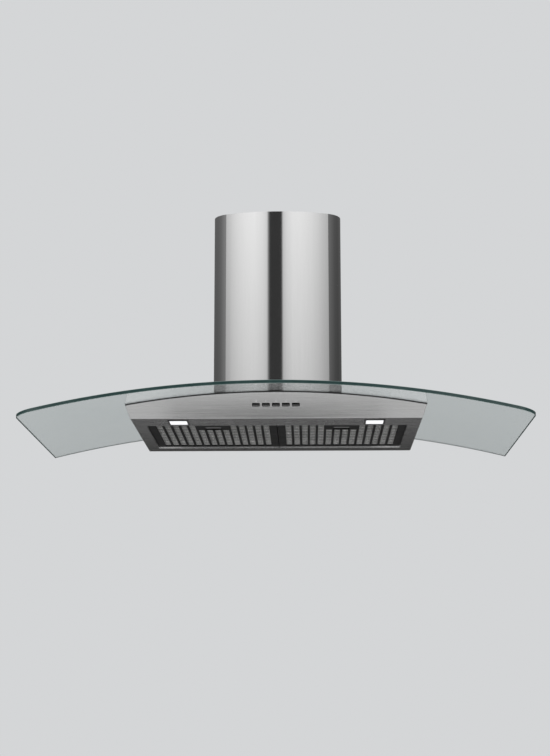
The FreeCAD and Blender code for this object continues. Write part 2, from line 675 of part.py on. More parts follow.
def filter_frame():
    frame = filter_outer(0, FILTER_BOTTOM, FILTER_TOP)
    rear_edge = [e for e in frame.Edges if abs(e.BoundBox.ZMax - FILTER_BOTTOM) < CLOSE
                 and abs(e.BoundBox.YMin - FILTER_REAR_Y) < CLOSE]
    frame = frame.makeFillet(HINGE_RADIUS, rear_edge)
    inside = filter_outer(FILTER_SHEET, FILTER_BOTTOM + FILTER_SHEET, FILTER_TOP - FILTER_SHEET)
    top_window = filter_outer(FILTER_LIP, FILTER_BOTTOM + FILTER_SHEET, FILTER_TOP + PAST)
    slots = [box(strip_start(i), strip_start(i) + STRIP_WIDTH, -STRIP_FRONT, -STRIP_REAR,
                 FILTER_BOTTOM - PAST, FILTER_BOTTOM + 2 * FILTER_SHEET) for i in range(STRIP_COUNT)]
    plate_hole = latch_plate_space(0, FILTER_BOTTOM - PAST, FILTER_BOTTOM + 2 * FILTER_SHEET)
    frame = frame.cut([inside, top_window, plate_hole, tongue_space(TONGUE_GAP)] + slots)
    tabs = [box(FILTER_X + shift - TAB_WIDTH / 2, FILTER_X + shift + TAB_WIDTH / 2,
                FILTER_REAR_Y - FILTER_SHEET, FILTER_REAR_Y + TAB_REACH,
                TAB_BOTTOM, TAB_BOTTOM + TAB_THICKNESS) for shift in (-TAB_SPREAD, TAB_SPREAD)]
    return joined([frame] + tabs)


def filter_mesh():
    low = FILTER_BOTTOM + FILTER_SHEET
    sheet = filter_outer(FILTER_SHEET + MESH_GAP, low, low + MESH_THICKNESS)
    sheet = sheet.cut(latch_plate_space(MESH_GAP, low - PAST, low + PAST))
    row_pitch = (STRIP_FRONT - STRIP_REAR) / MESH_ROWS
    half_plate = LATCH_PLATE_WIDTH / 2 + MESH_GAP
    half_hole = STRIP_WIDTH / 2 - MESH_EDGE
    holes = []
    for i in range(STRIP_COUNT):
        middle = strip_start(i) + STRIP_WIDTH / 2
        beside_plate = abs(middle - FILTER_X) > half_plate + half_hole
        for j in range(MESH_ROWS):
            y = -STRIP_FRONT + j * row_pitch + MESH_BAR / 2
            if beside_plate or y > -LATCH_PLATE_REAR + MESH_GAP:
                holes.append(box(middle - half_hole, middle + half_hole, y, y + row_pitch - MESH_BAR,
                                 low - PAST, low + PAST))
    return sheet.cut(holes)


def latch_plate():
    """Black plate with the finger recess, let into the filter's frame."""
    plate = latch_plate_space(-MESH_GAP / 2, FILTER_BOTTOM, FILTER_TOP - FILTER_SHEET)
    half = LATCH_WIDTH / 2 + LATCH_GAP
    pocket = box(FILTER_X - half, FILTER_X + half, -LATCH_FRONT - LATCH_GAP, POCKET_REAR_Y,
                 FILTER_BOTTOM - PAST, LATCH_TOP + LATCH_GAP)
    return plate.cut([pocket, tongue_space(TONGUE_GAP)])


def latch():
    half = LATCH_WIDTH / 2
    slider = box(FILTER_X - half, FILTER_X + half, -LATCH_FRONT, -LATCH_REAR, LATCH_BOTTOM, LATCH_TOP)
    lip = box(FILTER_X - half, FILTER_X + half, -LATCH_FRONT, -LATCH_FRONT + LATCH_LIP,
              LATCH_BOTTOM - LATCH_LIP_DROP, LATCH_BOTTOM)
    tongue = box(FILTER_X - TONGUE_WIDTH / 2, FILTER_X + TONGUE_WIDTH / 2, -OPENING_FRONT + TONGUE_SHORT,
                 -LATCH_FRONT, TONGUE_BOTTOM, TONGUE_TOP)
    return joined([slider, lip, tongue])


def latch_spring():
    """Bowed strip between the latch and the rear of its recess."""
    rear = POCKET_REAR_Y - SPRING_GAP
    front = -LATCH_REAR + SPRING_GAP
    left = FILTER_X - SPRING_SPAN / 2
    right = FILTER_X + SPRING_SPAN / 2
    z = LATCH_BOTTOM + SPRING_STRIP
    near_left = V(left, rear - SPRING_STRIP, z)
    near_right = V(right, rear - SPRING_STRIP, z)
    far_left = V(left, rear, z)
    far_right = V(right, rear, z)
    edges = [arc(near_left, V(FILTER_X, front, z), near_right), line(near_right, far_right),
             arc(far_right, V(FILTER_X, front + SPRING_STRIP, z), far_left), line(far_left, near_left)]
    return face_of(edges).extrude(V(0, 0, LATCH_TOP - LATCH_BOTTOM - 2 * SPRING_STRIP))


# Lamps: the right one is built, and the left one is its mirror image

def lamp_bezel():
    flange = centred_box(LAMP_X, SKIRT_WIDTH + 2 * LAMP_FLANGE, LAMP_Y, SKIRT_DEPTH + 2 * LAMP_FLANGE,
                         -LAMP_FLANGE_HEIGHT, 0)
    skirt = centred_box(LAMP_X, SKIRT_WIDTH, LAMP_Y, SKIRT_DEPTH, 0, LAMP_SKIRT)
    hole = centred_box(LAMP_X, LENS_WIDTH + 2 * LENS_GAP, LAMP_Y, LENS_DEPTH + 2 * LENS_GAP,
                       -PAST, LAMP_SKIRT + PAST)
    return joined([flange, skirt]).cut(hole)


def lamp_lens():
    low = -LAMP_FLANGE_HEIGHT + LENS_GAP
    return centred_box(LAMP_X, LENS_WIDTH, LAMP_Y, LENS_DEPTH, low, low + LENS_THICKNESS)


def lamp_housing():
    top = LAMP_SKIRT + LAMP_HOUSING_HEIGHT
    outside = centred_box(LAMP_X, SKIRT_WIDTH, LAMP_Y, SKIRT_DEPTH, LAMP_SKIRT, top)
    inside = centred_box(LAMP_X, SKIRT_WIDTH - 2 * SHEET, LAMP_Y, SKIRT_DEPTH - 2 * SHEET,
                         LAMP_SKIRT - PAST, top - SHEET)
    return outside.cut(inside)


# Buttons and switches

def button(index):
    x = button_x(index)
    flange_out = -SHEET - BUTTON_PLAY
    flange_in = -FLANGE_BACK
    cap = button_block(index, BUTTON_GAP, flange_out, -BUTTON_RECESS)
    flange = centred_box(x, BUTTON_SLOT_WIDTH + 2 * BUTTON_FLANGE, BUTTON_LINE,
                         BUTTON_SLOT_HEIGHT + 2 * BUTTON_FLANGE, flange_in, flange_out)
    stem = centred_box(x, STEM_WIDTH, BUTTON_LINE, STEM_WIDTH, flange_in - STEM_LENGTH, flange_in)
    return on_panel(joined([cap, flange, stem]))


def switch_block():
    body = centred_box(0, SWITCH_WIDTH, BUTTON_LINE, SWITCH_HEIGHT, -SWITCH_BACK, -SWITCH_FRONT)
    foot_x = SWITCH_WIDTH / 2 + SWITCH_FOOT / 2
    feet = both_sides(centred_box(foot_x, SWITCH_FOOT, BUTTON_LINE, SWITCH_HEIGHT, -SWITCH_BACK, -SHEET))
    holes = [centred_box(button_x(i), STEM_WIDTH + 2 * STEM_GAP, BUTTON_LINE, STEM_WIDTH + 2 * STEM_GAP,
                         -SWITCH_BACK + SHEET, 0) for i in range(BUTTON_COUNT)]
    return on_panel(joined([body] + feet).cut(holes))


# Motor box and fan

def motor_box():
    half = BOX_WIDTH / 2
    outside = box(-half, half, -BOX_DEPTH, 0, 0, BOX_TOP)
    inside = box(-half + SHEET, half - SHEET, -BOX_DEPTH + SHEET, -SHEET, -PAST, BOX_TOP + PAST)
    flange = bent_plate(DECK_BEND, FLANGE_BEND, half + BOX_FLANGE, -BOX_DEPTH - BOX_FLANGE,
                        -SHEET - DECK_GAP)
    walls = outside.cut(under_bend(DECK_BEND, BODY_WIDTH, -BODY_WIDTH, -GLASS_DEPTH, PAST))
    spacing = FIXING_SPACING / 2
    holes = [rod_y(FIXING_RADIUS, -SHEET - PAST, PAST, x, FIXING_HEIGHT + z)
             for x in (-spacing, spacing) for z in (-spacing, spacing)]
    holes.append(rod_x(STUD_RADIUS + STUD_GAP, half - PAST, half + PAST, CAPACITOR_Y, CAPACITOR_Z))
    return joined([walls, flange]).cut([inside] + holes + deck_screw_holes())


def motor_box_lid():
    half = BOX_WIDTH / 2
    lid = box(-half, half, -BOX_DEPTH, 0, BOX_TOP, LID_TOP)
    air = rod_z(COLLAR_BORE, BOX_TOP - PAST, LID_TOP + PAST, 0, DUCT_Y)
    return lid.cut([air, loom_hole(BOX_TOP - PAST, LID_TOP + PAST)])


def loom_hole(low, high):
    return rod_z(LOOM_RADIUS + LOOM_GAP, low, high, CONTROL_MIDDLE_X, LOOM_Y)


def scroll_centres():
    """Centres of the housing's three quarter arcs, as (y, z)."""
    half = SCROLL_STEP / 2
    return [(FAN_Y + half, FAN_Z - half), (FAN_Y - half, FAN_Z - half), (FAN_Y - half, FAN_Z + half)]


def quarter(centre, radius, start, x):
    """A quarter arc in a plane across X, turning clockwise from start degrees."""
    points = [V(x, centre[0] + radius * math.cos(math.radians(start - turn)),
                centre[1] + radius * math.sin(math.radians(start - turn))) for turn in (0, 45, 90)]
    return arc(*points)


def scroll_solid(inset, x0, x1, top):
    """The housing's side outline, extruded across the fan."""
    centres = scroll_centres()
    radii = [SCROLL_RADIUS + i * SCROLL_STEP - inset for i in range(3)]
    arcs = [quarter(centres[i], radii[i], 90 - 90 * i, x0) for i in range(3)]
    front = V(x0, centres[2][0] - radii[2], centres[2][1])
    tongue = V(x0, centres[0][0], centres[0][1] + radii[0])
    front_top = V(x0, front.y, top)
    rear_top = V(x0, tongue.y - inset, top)
    rear_low = V(x0, tongue.y - inset, tongue.z)
    edges = arcs + [line(front, front_top), line(front_top, rear_top), line(rear_top, rear_low)]
    if inset:
        edges.append(line(rear_low, tongue))
    return face_of(edges).extrude(V(x1 - x0, 0, 0))


def rubber_places():
    return [(FAN_Y + RUBBER_CIRCLE * math.cos(math.radians(a)),
             FAN_Z + RUBBER_CIRCLE * math.sin(math.radians(a))) for a in BRACKET_ANGLES]


def scroll_left():
    half = SCROLL_WIDTH / 2
    shell = scroll_solid(0, -half, 0, SCROLL_TOP)
    inside = scroll_solid(SCROLL_SHEET, -half + SCROLL_SHEET, PAST, SCROLL_TOP + PAST)
    inlet = rod_x(INLET_RADIUS, -half - PAST, -half + PAST, FAN_Y, FAN_Z)
    return shell.cut([inside, inlet])


def drilled_scroll_left():
    half = SCROLL_WIDTH / 2
    holes = [rod_x(RUBBER_SCREW + RUBBER_SCREW_GAP, -half - PAST, -half + PAST, y, z)
             for y, z in rubber_places()]
    return scroll_left().cut(holes)


def impeller():
    half = IMPELLER_WIDTH / 2
    blade = box(-half, half, IMPELLER_BORE, IMPELLER_BORE + BLADE_LENGTH,
                -BLADE_THICKNESS / 2, BLADE_THICKNESS / 2)
    blade.rotate(V(0, IMPELLER_BORE, 0), X_AXIS, BLADE_ANGLE)
    blades = []
    for i in range(BLADE_COUNT):
        turned = blade.copy()
        turned.rotate(V(0, 0, 0), X_AXIS, 360.0 * i / BLADE_COUNT)
        blades.append(turned)
    rings = [rod_x(IMPELLER_RADIUS, x, x + IMPELLER_RING, 0, 0).cut(
        rod_x(IMPELLER_BORE, x - PAST, x + PAST, 0, 0)) for x in (-half, half - IMPELLER_RING)]
    disc = rod_x(IMPELLER_RADIUS, -IMPELLER_RING / 2, IMPELLER_RING / 2, 0, 0)
    hub = rod_x(HUB_RADIUS, HUB_START, HUB_END, 0, 0)
    wheel = joined(blades + rings + [disc, hub])
    wheel = wheel.cut(rod_x(SHAFT_RADIUS, HUB_START - PAST, HUB_END + PAST, 0, 0))
    wheel.translate(V(0, FAN_Y, FAN_Z))
    return wheel


def motor():
    can = rod_x(MOTOR_RADIUS, MOTOR_BACK, MOTOR_FRONT, FAN_Y, FAN_Z)
    boss = rod_x(MOTOR_BOSS_RADIUS, MOTOR_FRONT, MOTOR_BOSS_FRONT, FAN_Y, FAN_Z)
    bore = rod_x(SHAFT_RADIUS + SHAFT_CLEARANCE, SHAFT_START - SHEET, MOTOR_BOSS_FRONT + PAST,
                 FAN_Y, FAN_Z)
    return joined([can, boss]).cut(bore)


def motor_shaft():
    return rod_x(SHAFT_RADIUS, SHAFT_START, HUB_END, FAN_Y, FAN_Z)


def motor_bracket():
    """Three-armed plate on the motor's outer end."""
    x0 = MOTOR_BACK - BRACKET_THICKNESS
    pieces = [rod_x(BRACKET_RADIUS, x0, MOTOR_BACK, FAN_Y, FAN_Z)]
    for angle, place in zip(BRACKET_ANGLES, rubber_places()):
        arm = box(x0, MOTOR_BACK, 0, RUBBER_CIRCLE, -BRACKET_ARM / 2, BRACKET_ARM / 2)
        arm.rotate(V(0, 0, 0), X_AXIS, angle)
        arm.translate(V(0, FAN_Y, FAN_Z))
        pieces.append(arm)
        pieces.append(rod_x(BRACKET_ARM / 2, x0, MOTOR_BACK, place[0], place[1]))
    holes = [rod_x(RUBBER_SCREW + RUBBER_SCREW_GAP, x0 - PAST, MOTOR_BACK + PAST, y, z)
             for y, z in rubber_places()]
    holes.append(rod_x(BRACKET_HOLE, x0 - PAST, MOTOR_BACK + PAST, FAN_Y, FAN_Z))
    return joined(pieces).cut(holes)


def motor_bushes():
    bore = RUBBER_SCREW + RUBBER_SCREW_GAP
    return [rod_x(RUBBER_RADIUS, MOTOR_BACK, -SCROLL_WIDTH / 2, y, z).cut(
        rod_x(bore, MOTOR_BACK - PAST, PAST, y, z)) for y, z in rubber_places()]


def motor_screws():
    seat = MOTOR_BACK - BRACKET_THICKNESS
    tip = -SCROLL_WIDTH / 2 + RUBBER_SCREW_END
    return [joined([rod_x(RUBBER_SCREW_HEAD, seat - 2 * SHEET, seat, y, z),
                    rod_x(RUBBER_SCREW, seat, tip, y, z)]) for y, z in rubber_places()]


# Outlet

def rounded_ring(half_x, y0, y1, corner, z):
    """Eight edges of a rounded rectangle, anticlockwise from its right side."""
    cut = corner * (1 - math.sqrt(0.5))
    edges = []
    corners = [(half_x, y1, -1, -1), (-half_x, y1, 1, -1), (-half_x, y0, 1, 1), (half_x, y0, -1, 1)]
    spots = []
    for i, (x, y, sx, sy) in enumerate(corners):
        first = V(x, y + sy * corner, z)
        last = V(x + sx * corner, y, z)
        if i % 2:
            first, last = last, first
        spots.append((first, V(x + sx * cut, y + sy * cut, z), last))
    for i, (first, middle, last) in enumerate(spots):
        edges.append(line(spots[i - 1][2], first))
        edges.append(arc(first, middle, last))
    return Part.Wire(edges)


def round_ring(radius, y, z, corner_angle):
    """Eight arcs of a circle that match the edges of rounded_ring."""
    def spot(angle):
        return V(radius * math.cos(math.radians(angle)), y + radius * math.sin(math.radians(angle)), z)
    edges = []
    for middle in (45, 135, 225, 315):
        start = middle - corner_angle / 2
        end = middle + corner_angle / 2
        before = middle - 90 + corner_angle / 2
        edges.append(arc(spot(before), spot((before + start) / 2), spot(start)))
        edges.append(arc(spot(start), spot(middle), spot(end)))
    return Part.Wire(edges)


def adapter_solid(inset, low, high):
    centres = scroll_centres()
    y0 = centres[2][0] - SCROLL_RADIUS - 2 * SCROLL_STEP + inset
    y1 = centres[0][0] - inset
    base = rounded_ring(SCROLL_WIDTH / 2 - inset, y0, y1, ADAPTER_CORNER - inset, low)
    top = round_ring(COLLAR_RADIUS - inset, DUCT_Y, high, ADAPTER_CORNER_TURN)
    return Part.makeLoft([base, top], True, True)


def outlet_adapter():
    """Leads the fan housing's rectangular outlet to the round one."""
    return adapter_solid(0, SCROLL_TOP, BOX_TOP).cut(adapter_solid(COLLAR_WALL, SCROLL_TOP, BOX_TOP))


def outlet_collar():
    flange = rod_z(COLLAR_FLANGE, LID_TOP, LID_TOP + COLLAR_FLANGE_THICKNESS, 0, DUCT_Y)
    tube = rod_z(COLLAR_RADIUS, LID_TOP, COLLAR_TOP, 0, DUCT_Y)
    bore = rod_z(COLLAR_BORE, LID_TOP - PAST, COLLAR_TOP + PAST, 0, DUCT_Y)
    pin_hole = rod_x(PIN_RADIUS, -COLLAR_FLANGE, COLLAR_FLANGE, DUCT_Y, PIN_Z)
    return joined([flange, tube]).cut([bore, pin_hole])


def damper_pin():
    return rod_x(PIN_RADIUS, -COLLAR_RADIUS, COLLAR_RADIUS, DUCT_Y, PIN_Z)


def damper_flap(side):
    """Half of the non-return flap, on the front (-1) or rear (1) side of the pin."""
    radius = COLLAR_BORE - FLAP_GAP
    half = FLAP_THICKNESS / 2
    plate = rod_z(radius, -half, half, 0, 0)
    if side > 0:
        plate = plate.common(box(-radius, radius, FLAP_ROOT, radius, -half, half))
    else:
        plate = plate.common(box(-radius, radius, -radius, -FLAP_ROOT, -half, half))
    pieces = [plate]
    end, start = (KNUCKLE_END / 2, KNUCKLE_END) if side > 0 else (0, KNUCKLE_END / 2)
    for x0, x1 in ((-start, -end), (end, start)):
        low = x0 + KNUCKLE_GAP
        high = x1 - KNUCKLE_GAP
        pieces.append(rod_x(KNUCKLE_RADIUS, low, high, 0, 0))
        reach = sorted((0, side * (FLAP_ROOT + SHEET)))
        pieces.append(box(low, high, reach[0], reach[1], -half, half))
    flap = joined(pieces).cut(rod_x(PIN_RADIUS + PIN_CLEARANCE, -radius, radius, 0, 0))
    flap.translate(V(0, DUCT_Y, PIN_Z))
    return flap


# Electrical parts

def control_box():
    x1 = CONTROL_X + CONTROL_WIDTH
    outside = box(CONTROL_X, x1, CONTROL_FRONT, CONTROL_REAR, LID_TOP, CONTROL_TOP)
    inside = box(CONTROL_X + CONTROL_WALL, x1 - CONTROL_WALL, CONTROL_FRONT + CONTROL_WALL,
                 CONTROL_REAR - CONTROL_WALL, LID_TOP + CONTROL_WALL, CONTROL_TOP + PAST)
    return outside.cut([inside, loom_hole(LID_TOP - PAST, LID_TOP + PAST)])


def control_box_lid():
    lid = box(CONTROL_X, CONTROL_X + CONTROL_WIDTH, CONTROL_FRONT, CONTROL_REAR,
              CONTROL_TOP, CONTROL_TOP + CONTROL_LID)
    return lid.cut(rod_z(GLAND_NECK + GLAND_GAP, CONTROL_TOP - PAST, CONTROL_TOP + PAST,
                         CONTROL_MIDDLE_X, GLAND_Y))


def cable_gland():
    seat = CONTROL_TOP + CONTROL_LID
    head = rod_z(GLAND_RADIUS, seat, seat + GLAND_HEIGHT, CONTROL_MIDDLE_X, GLAND_Y)
    neck = rod_z(GLAND_NECK, seat - GLAND_NECK_LENGTH, seat, CONTROL_MIDDLE_X, GLAND_Y)
    bore = rod_z(GLAND_BORE, seat - BODY_ROOM, seat + BODY_ROOM, CONTROL_MIDDLE_X, GLAND_Y)
    return joined([head, neck]).cut(bore)


def capacitor():
    wall = BOX_WIDTH / 2 - SHEET
    can = rod_x(CAPACITOR_RADIUS, wall - CAPACITOR_LENGTH, wall, CAPACITOR_Y, CAPACITOR_Z)
    stud = rod_x(STUD_RADIUS, wall, wall + STUD_LENGTH, CAPACITOR_Y, CAPACITOR_Z)
    return joined([can, stud])


def capacitor_nut():
    nut = hexagon(STUD_NUT_ACROSS / math.sqrt(3)).extrude(V(0, 0, STUD_NUT_HEIGHT))
    nut = nut.cut(rod_z(STUD_RADIUS, -PAST, STUD_NUT_HEIGHT + PAST, 0, 0))
    nut.rotate(V(0, 0, 0), Y_AXIS, 90)
    nut.translate(V(BOX_WIDTH / 2, CAPACITOR_Y, CAPACITOR_Z))
    return nut


def tube(points, bends, radius):
    """A round cable along straight runs that are joined by tangent arcs."""
    edges = []
    start = points[0]
    for i in range(1, len(points) - 1):
        come = (points[i] - points[i - 1]).normalize()
        go = (points[i + 1] - points[i]).normalize()
        turn = come.getAngle(go)
        cut = bends[i - 1] * math.tan(turn / 2)
        first = points[i] - come * cut
        last = points[i] + go * cut
        inward = (go - come).normalize()
        middle = points[i] + inward * (bends[i - 1] / math.cos(turn / 2) - bends[i - 1])
        edges.append(line(start, first))
        edges.append(arc(first, middle, last))
        start = last
    edges.append(line(start, points[-1]))
    path = Part.Wire(edges)
    circle = Part.Wire(Part.makeCircle(radius, points[0], points[1] - points[0]))
    cable = path.makePipeShell([circle], True, False)
    share = cable.Volume / (math.pi * radius ** 2 * path.Length)
    print("cable", round(path.Length), "mm long, volume over section times length", round(share, 4))
    return cable


def switch_side(line_up):
    """Point in the switch block's right end, this far up the panel."""
    depth = (SWITCH_FRONT + SWITCH_BACK) / 2
    corner = on_panel(Part.Vertex(SWITCH_WIDTH / 2 + SWITCH_FOOT, line_up, -depth))
    return corner.Point


def switch_cable():
    start = switch_side(LOOM_LINE)
    end_z = LID_TOP + CONTROL_WALL + LOOM_END
    points = [start, V(CONTROL_MIDDLE_X, start.y, start.z), V(CONTROL_MIDDLE_X, LOOM_Y, start.z),
              V(CONTROL_MIDDLE_X, LOOM_Y, end_z)]
    return tube(points, [LOOM_BEND, LOOM_BEND], LOOM_RADIUS)


def lamp_cable():
    end = switch_side(LAMP_CABLE_LINE)
    start = V(LAMP_X - SKIRT_WIDTH / 2, LAMP_Y - LAMP_CABLE_SHIFT, LAMP_SKIRT + LAMP_HOUSING_HEIGHT / 2)
    switch_knee = V(CONTROL_MIDDLE_X + LAMP_CABLE_KNEE, end.y, end.z)
    lamp_knee_x = switch_knee.x + LAMP_CABLE_SHARE * (start.x - switch_knee.x)
    points = [start, V(lamp_knee_x, start.y, start.z), switch_knee, end]
    return tube(points, [LAMP_CABLE_BEND, LAMP_CABLE_BEND], LAMP_CABLE_RADIUS)


# Chimneys

def chimney_solid(inset, low, high, rear):
    """The chimney's plan: straight sides, round corners and a bowed front."""
    half = CHIMNEY_WIDTH / 2 - inset
    corner = CHIMNEY_CORNER - inset
    bow = CHIMNEY_BOW - inset
    bow_y = -CHIMNEY_DEPTH + CHIMNEY_BOW
    corner_x = half - corner
    corner_y = bow_y - math.sqrt((bow - corner) ** 2 - corner_x ** 2)
    turn = math.atan2(corner_x, bow_y - corner_y)
    side = V(half, corner_y, low)
    middle_angle = (math.pi / 2 + turn) / 2
    bend = V(corner_x + corner * math.sin(middle_angle), corner_y - corner * math.cos(middle_angle), low)
    meet = V(bow * math.sin(turn), bow_y - bow * math.cos(turn), low)
    nose = V(0, bow_y - bow, low)
    back = V(half, rear, low)

    def left(p):
        return V(-p.x, p.y, p.z)

    edges = [line(back, side), arc(side, bend, meet), arc(meet, nose, left(meet)),
             arc(left(meet), left(bend), left(side)), line(left(side), left(back)), line(left(back), back)]
    return face_of(edges).extrude(V(0, 0, high - low))


def chimney_lower():
    outside = chimney_solid(0, 0, CHIMNEY_TOP, 0)
    inside = chimney_solid(SHEET, -PAST, CHIMNEY_TOP + PAST, PAST)
    seat = under_bend(GLASS_TOP_BEND + CHIMNEY_GLASS_GAP, BODY_WIDTH, -BODY_WIDTH, -GLASS_DEPTH, PAST)
    return outside.cut([inside, seat])


def chimney_upper():
    outside = chimney_solid(UPPER_INSET, UPPER_BOTTOM, UPPER_TOP, 0)
    inside = chimney_solid(UPPER_INSET + SHEET, UPPER_BOTTOM - PAST, UPPER_TOP + PAST, PAST)
    half = CHIMNEY_WIDTH / 2
    hole = rod_x(CHIMNEY_SCREW_RADIUS + SCREW_GAP, -half, half, CHIMNEY_SCREW_Y, BRACKET_Z)
    return outside.cut([inside, hole])


def chimney_bracket():
    """Wall bracket that the upper chimney is screwed to."""
    half = CHIMNEY_WIDTH / 2 - UPPER_INSET - SHEET - BRACKET_GAP
    top = BRACKET_BOTTOM + BRACKET_TALL
    outside = box(-half, half, -BRACKET_REACH, 0, BRACKET_BOTTOM, top)
    inside = box(-half + BRACKET_SHEET, half - BRACKET_SHEET, -BRACKET_REACH - PAST, -BRACKET_SHEET,
                 BRACKET_BOTTOM - PAST, top + PAST)
    side_hole = rod_x(CHIMNEY_SCREW_RADIUS + SCREW_GAP, -half - PAST, half + PAST, CHIMNEY_SCREW_Y, BRACKET_Z)
    wall_holes = [rod_y(BRACKET_HOLE_RADIUS, -PAST, PAST, x, BRACKET_Z)
                  for x in (-BRACKET_HOLE_SPACING / 2, BRACKET_HOLE_SPACING / 2)]
    return outside.cut([inside, side_hole] + wall_holes)


def chimney_screws():
    seat = CHIMNEY_WIDTH / 2 - UPPER_INSET
    head = rod_x(CHIMNEY_SCREW_HEAD, seat, seat + CHIMNEY_SCREW_HEAD_HEIGHT, CHIMNEY_SCREW_Y, BRACKET_Z)
    shank = rod_x(CHIMNEY_SCREW_RADIUS, seat - CHIMNEY_SCREW_LENGTH, seat, CHIMNEY_SCREW_Y, BRACKET_Z)
    return both_sides(joined([head, shank]))


def chimney_spacers():
    """Channels between the motor box and the lower chimney, which also stop the upper one."""
    x0 = BOX_WIDTH / 2
    x1 = CHIMNEY_WIDTH / 2 - SHEET
    top = UPPER_BOTTOM - CHIMNEY_GLASS_GAP
    outside = box(x0, x1, SPACER_Y, SPACER_Y + SPACER_LENGTH, top - SPACER_HEIGHT, top)
    inside = box(x0 + SHEET, x1 - SHEET, SPACER_Y - PAST, SPACER_Y + SPACER_LENGTH + PAST,
                 top - SPACER_HEIGHT - PAST, top - SHEET)
    return both_sides(outside.cut(inside))


def save_pair(name, shape):
    save(name + "_right", shape)
    save(name + "_left", mirrored(shape))


def main():
    os.makedirs("parts", exist_ok=True)
    save("glass_canopy", glass_canopy())
    save("glass_seal", glass_seal())
    save("glass_bolts", glass_bolts())
    save("glass_bushes", glass_bushes())
    save("glass_nuts", glass_nuts())
    save("body_shell", body_shell())
    save("body_back_panel", body_back_panel())
    save("body_deck", body_deck())
    save("body_screws", body_screws())
    save_pair("filter_frame", filter_frame())
    save_pair("filter_mesh", filter_mesh())
    save_pair("latch_plate", latch_plate())
    save_pair("latch", latch())
    save_pair("latch_spring", latch_spring())
    save_pair("lamp_bezel", lamp_bezel())
    save_pair("lamp_lens", lamp_lens())
    save_pair("lamp_housing", lamp_housing())
    save_pair("lamp_cable", lamp_cable())
    for index in range(BUTTON_COUNT):
        save("button_" + str(index + 1), button(index))
    save("switch_block", switch_block())
    save("switch_cable", switch_cable())
    save("motor_box", motor_box())
    save("motor_box_lid", motor_box_lid())
    save("scroll_left", drilled_scroll_left())
    save("scroll_right", mirrored(scroll_left()))
    save("impeller", impeller())
    save("motor", motor())
    save("motor_shaft", motor_shaft())
    save("motor_bracket", motor_bracket())
    save("motor_bushes", motor_bushes())
    save("motor_screws", motor_screws())
    save("outlet_adapter", outlet_adapter())
    save("outlet_collar", outlet_collar())
    save("damper_pin", damper_pin())
    save("damper_flap_front", damper_flap(-1))
    save("damper_flap_rear", damper_flap(1))
    save("control_box", control_box())
    save("control_box_lid", control_box_lid())
    save("cable_gland", cable_gland())
    save("capacitor", capacitor())
    save("capacitor_nut", capacitor_nut())
    save("chimney_lower", chimney_lower())
    save("chimney_upper", chimney_upper())
    save("chimney_bracket", chimney_bracket())
    save("chimney_screws", chimney_screws())
    save("chimney_spacers", chimney_spacers())


main()
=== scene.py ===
import math

import bmesh
import bpy
from mathutils import Matrix, Vector


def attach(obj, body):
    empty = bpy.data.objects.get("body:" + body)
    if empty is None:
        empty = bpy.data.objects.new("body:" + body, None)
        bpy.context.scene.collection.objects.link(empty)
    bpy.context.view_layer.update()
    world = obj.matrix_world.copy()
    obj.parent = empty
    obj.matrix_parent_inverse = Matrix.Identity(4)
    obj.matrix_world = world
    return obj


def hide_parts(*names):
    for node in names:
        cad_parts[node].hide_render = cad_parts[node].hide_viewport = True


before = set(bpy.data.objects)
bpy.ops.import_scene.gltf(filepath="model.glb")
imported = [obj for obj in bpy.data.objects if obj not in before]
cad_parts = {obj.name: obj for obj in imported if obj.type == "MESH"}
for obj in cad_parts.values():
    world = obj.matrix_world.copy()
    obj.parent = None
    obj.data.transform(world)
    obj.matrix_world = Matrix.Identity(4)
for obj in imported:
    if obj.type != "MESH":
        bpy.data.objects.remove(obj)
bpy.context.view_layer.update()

# Sizes in metres. X is to the right, Y into the wall and Z up.
MM = 0.001
UNDER = -0.180               # the body's underside

# Glass canopy
GLASS_HALF = 0.450
GLASS_FRONT = -0.490
GLASS_REAR = -0.002
GLASS_THICK = 0.006
GLASS_BEND = 1.870           # radius of its underside
GLASS_CROWN = UNDER + 0.0415
GLASS_CORNER = 0.030
NOTCH_HALF = 0.112
NOTCH_FRONT = -0.226
NOTCH_CORNER = 0.010
GLASS_ARRIS = 0.0007         # ground edge
GLASS_STRIPS = 60            # flat strips that make up the bend
GLASS_CREASE = 12            # degrees, so that the plate's faces stay apart from its arrises
RIM_STEEP = 0.96             # a face whose normal stands less upright than this is rim
FLANGE_HALF = 0.2678         # of the body's top flange
BOLT_INSET = 0.0134          # from the flange's end
BOLT_TURN = math.asin((FLANGE_HALF - BOLT_INSET) / GLASS_BEND)
BOLT_LINES = (-0.060, -0.350)
BOLT_HOLE = 0.0061

# Front panel and its buttons. Depths are low and high, from the panel's face outwards.
PANEL_FOOT = -0.376
PANEL_LEAN = math.radians(47.2)
BUTTON_PITCH = 0.0177
BUTTON_COUNT = 5
BUTTON_LINE = 0.0302         # up the panel to the buttons' middle
BUTTON_HALF_WIDTH = 0.0067
BUTTON_HALF_HEIGHT = 0.0037
BUTTON_CORNER = 0.0012
WELL_DEPTH = (-2.7 * MM, -2.2 * MM)
FLANGE_DEPTH = (-2.9 * MM, -2.3 * MM)
FLANGE_LAP = 1.2 * MM        # beyond the button all round
STEM_DEPTH = (-8.8 * MM, -2.6 * MM)
STEM_HALF = 2 * MM
BAR_DEPTH = (-2.3 * MM, -0.7 * MM)
BAR_SIDE_GAP = 0.5 * MM
BAR_BELOW = 0.7 * MM         # from the button's middle down to the bar
BAR_CORNER = 1.0 * MM
BAR_ROUNDING = 0.45 * MM

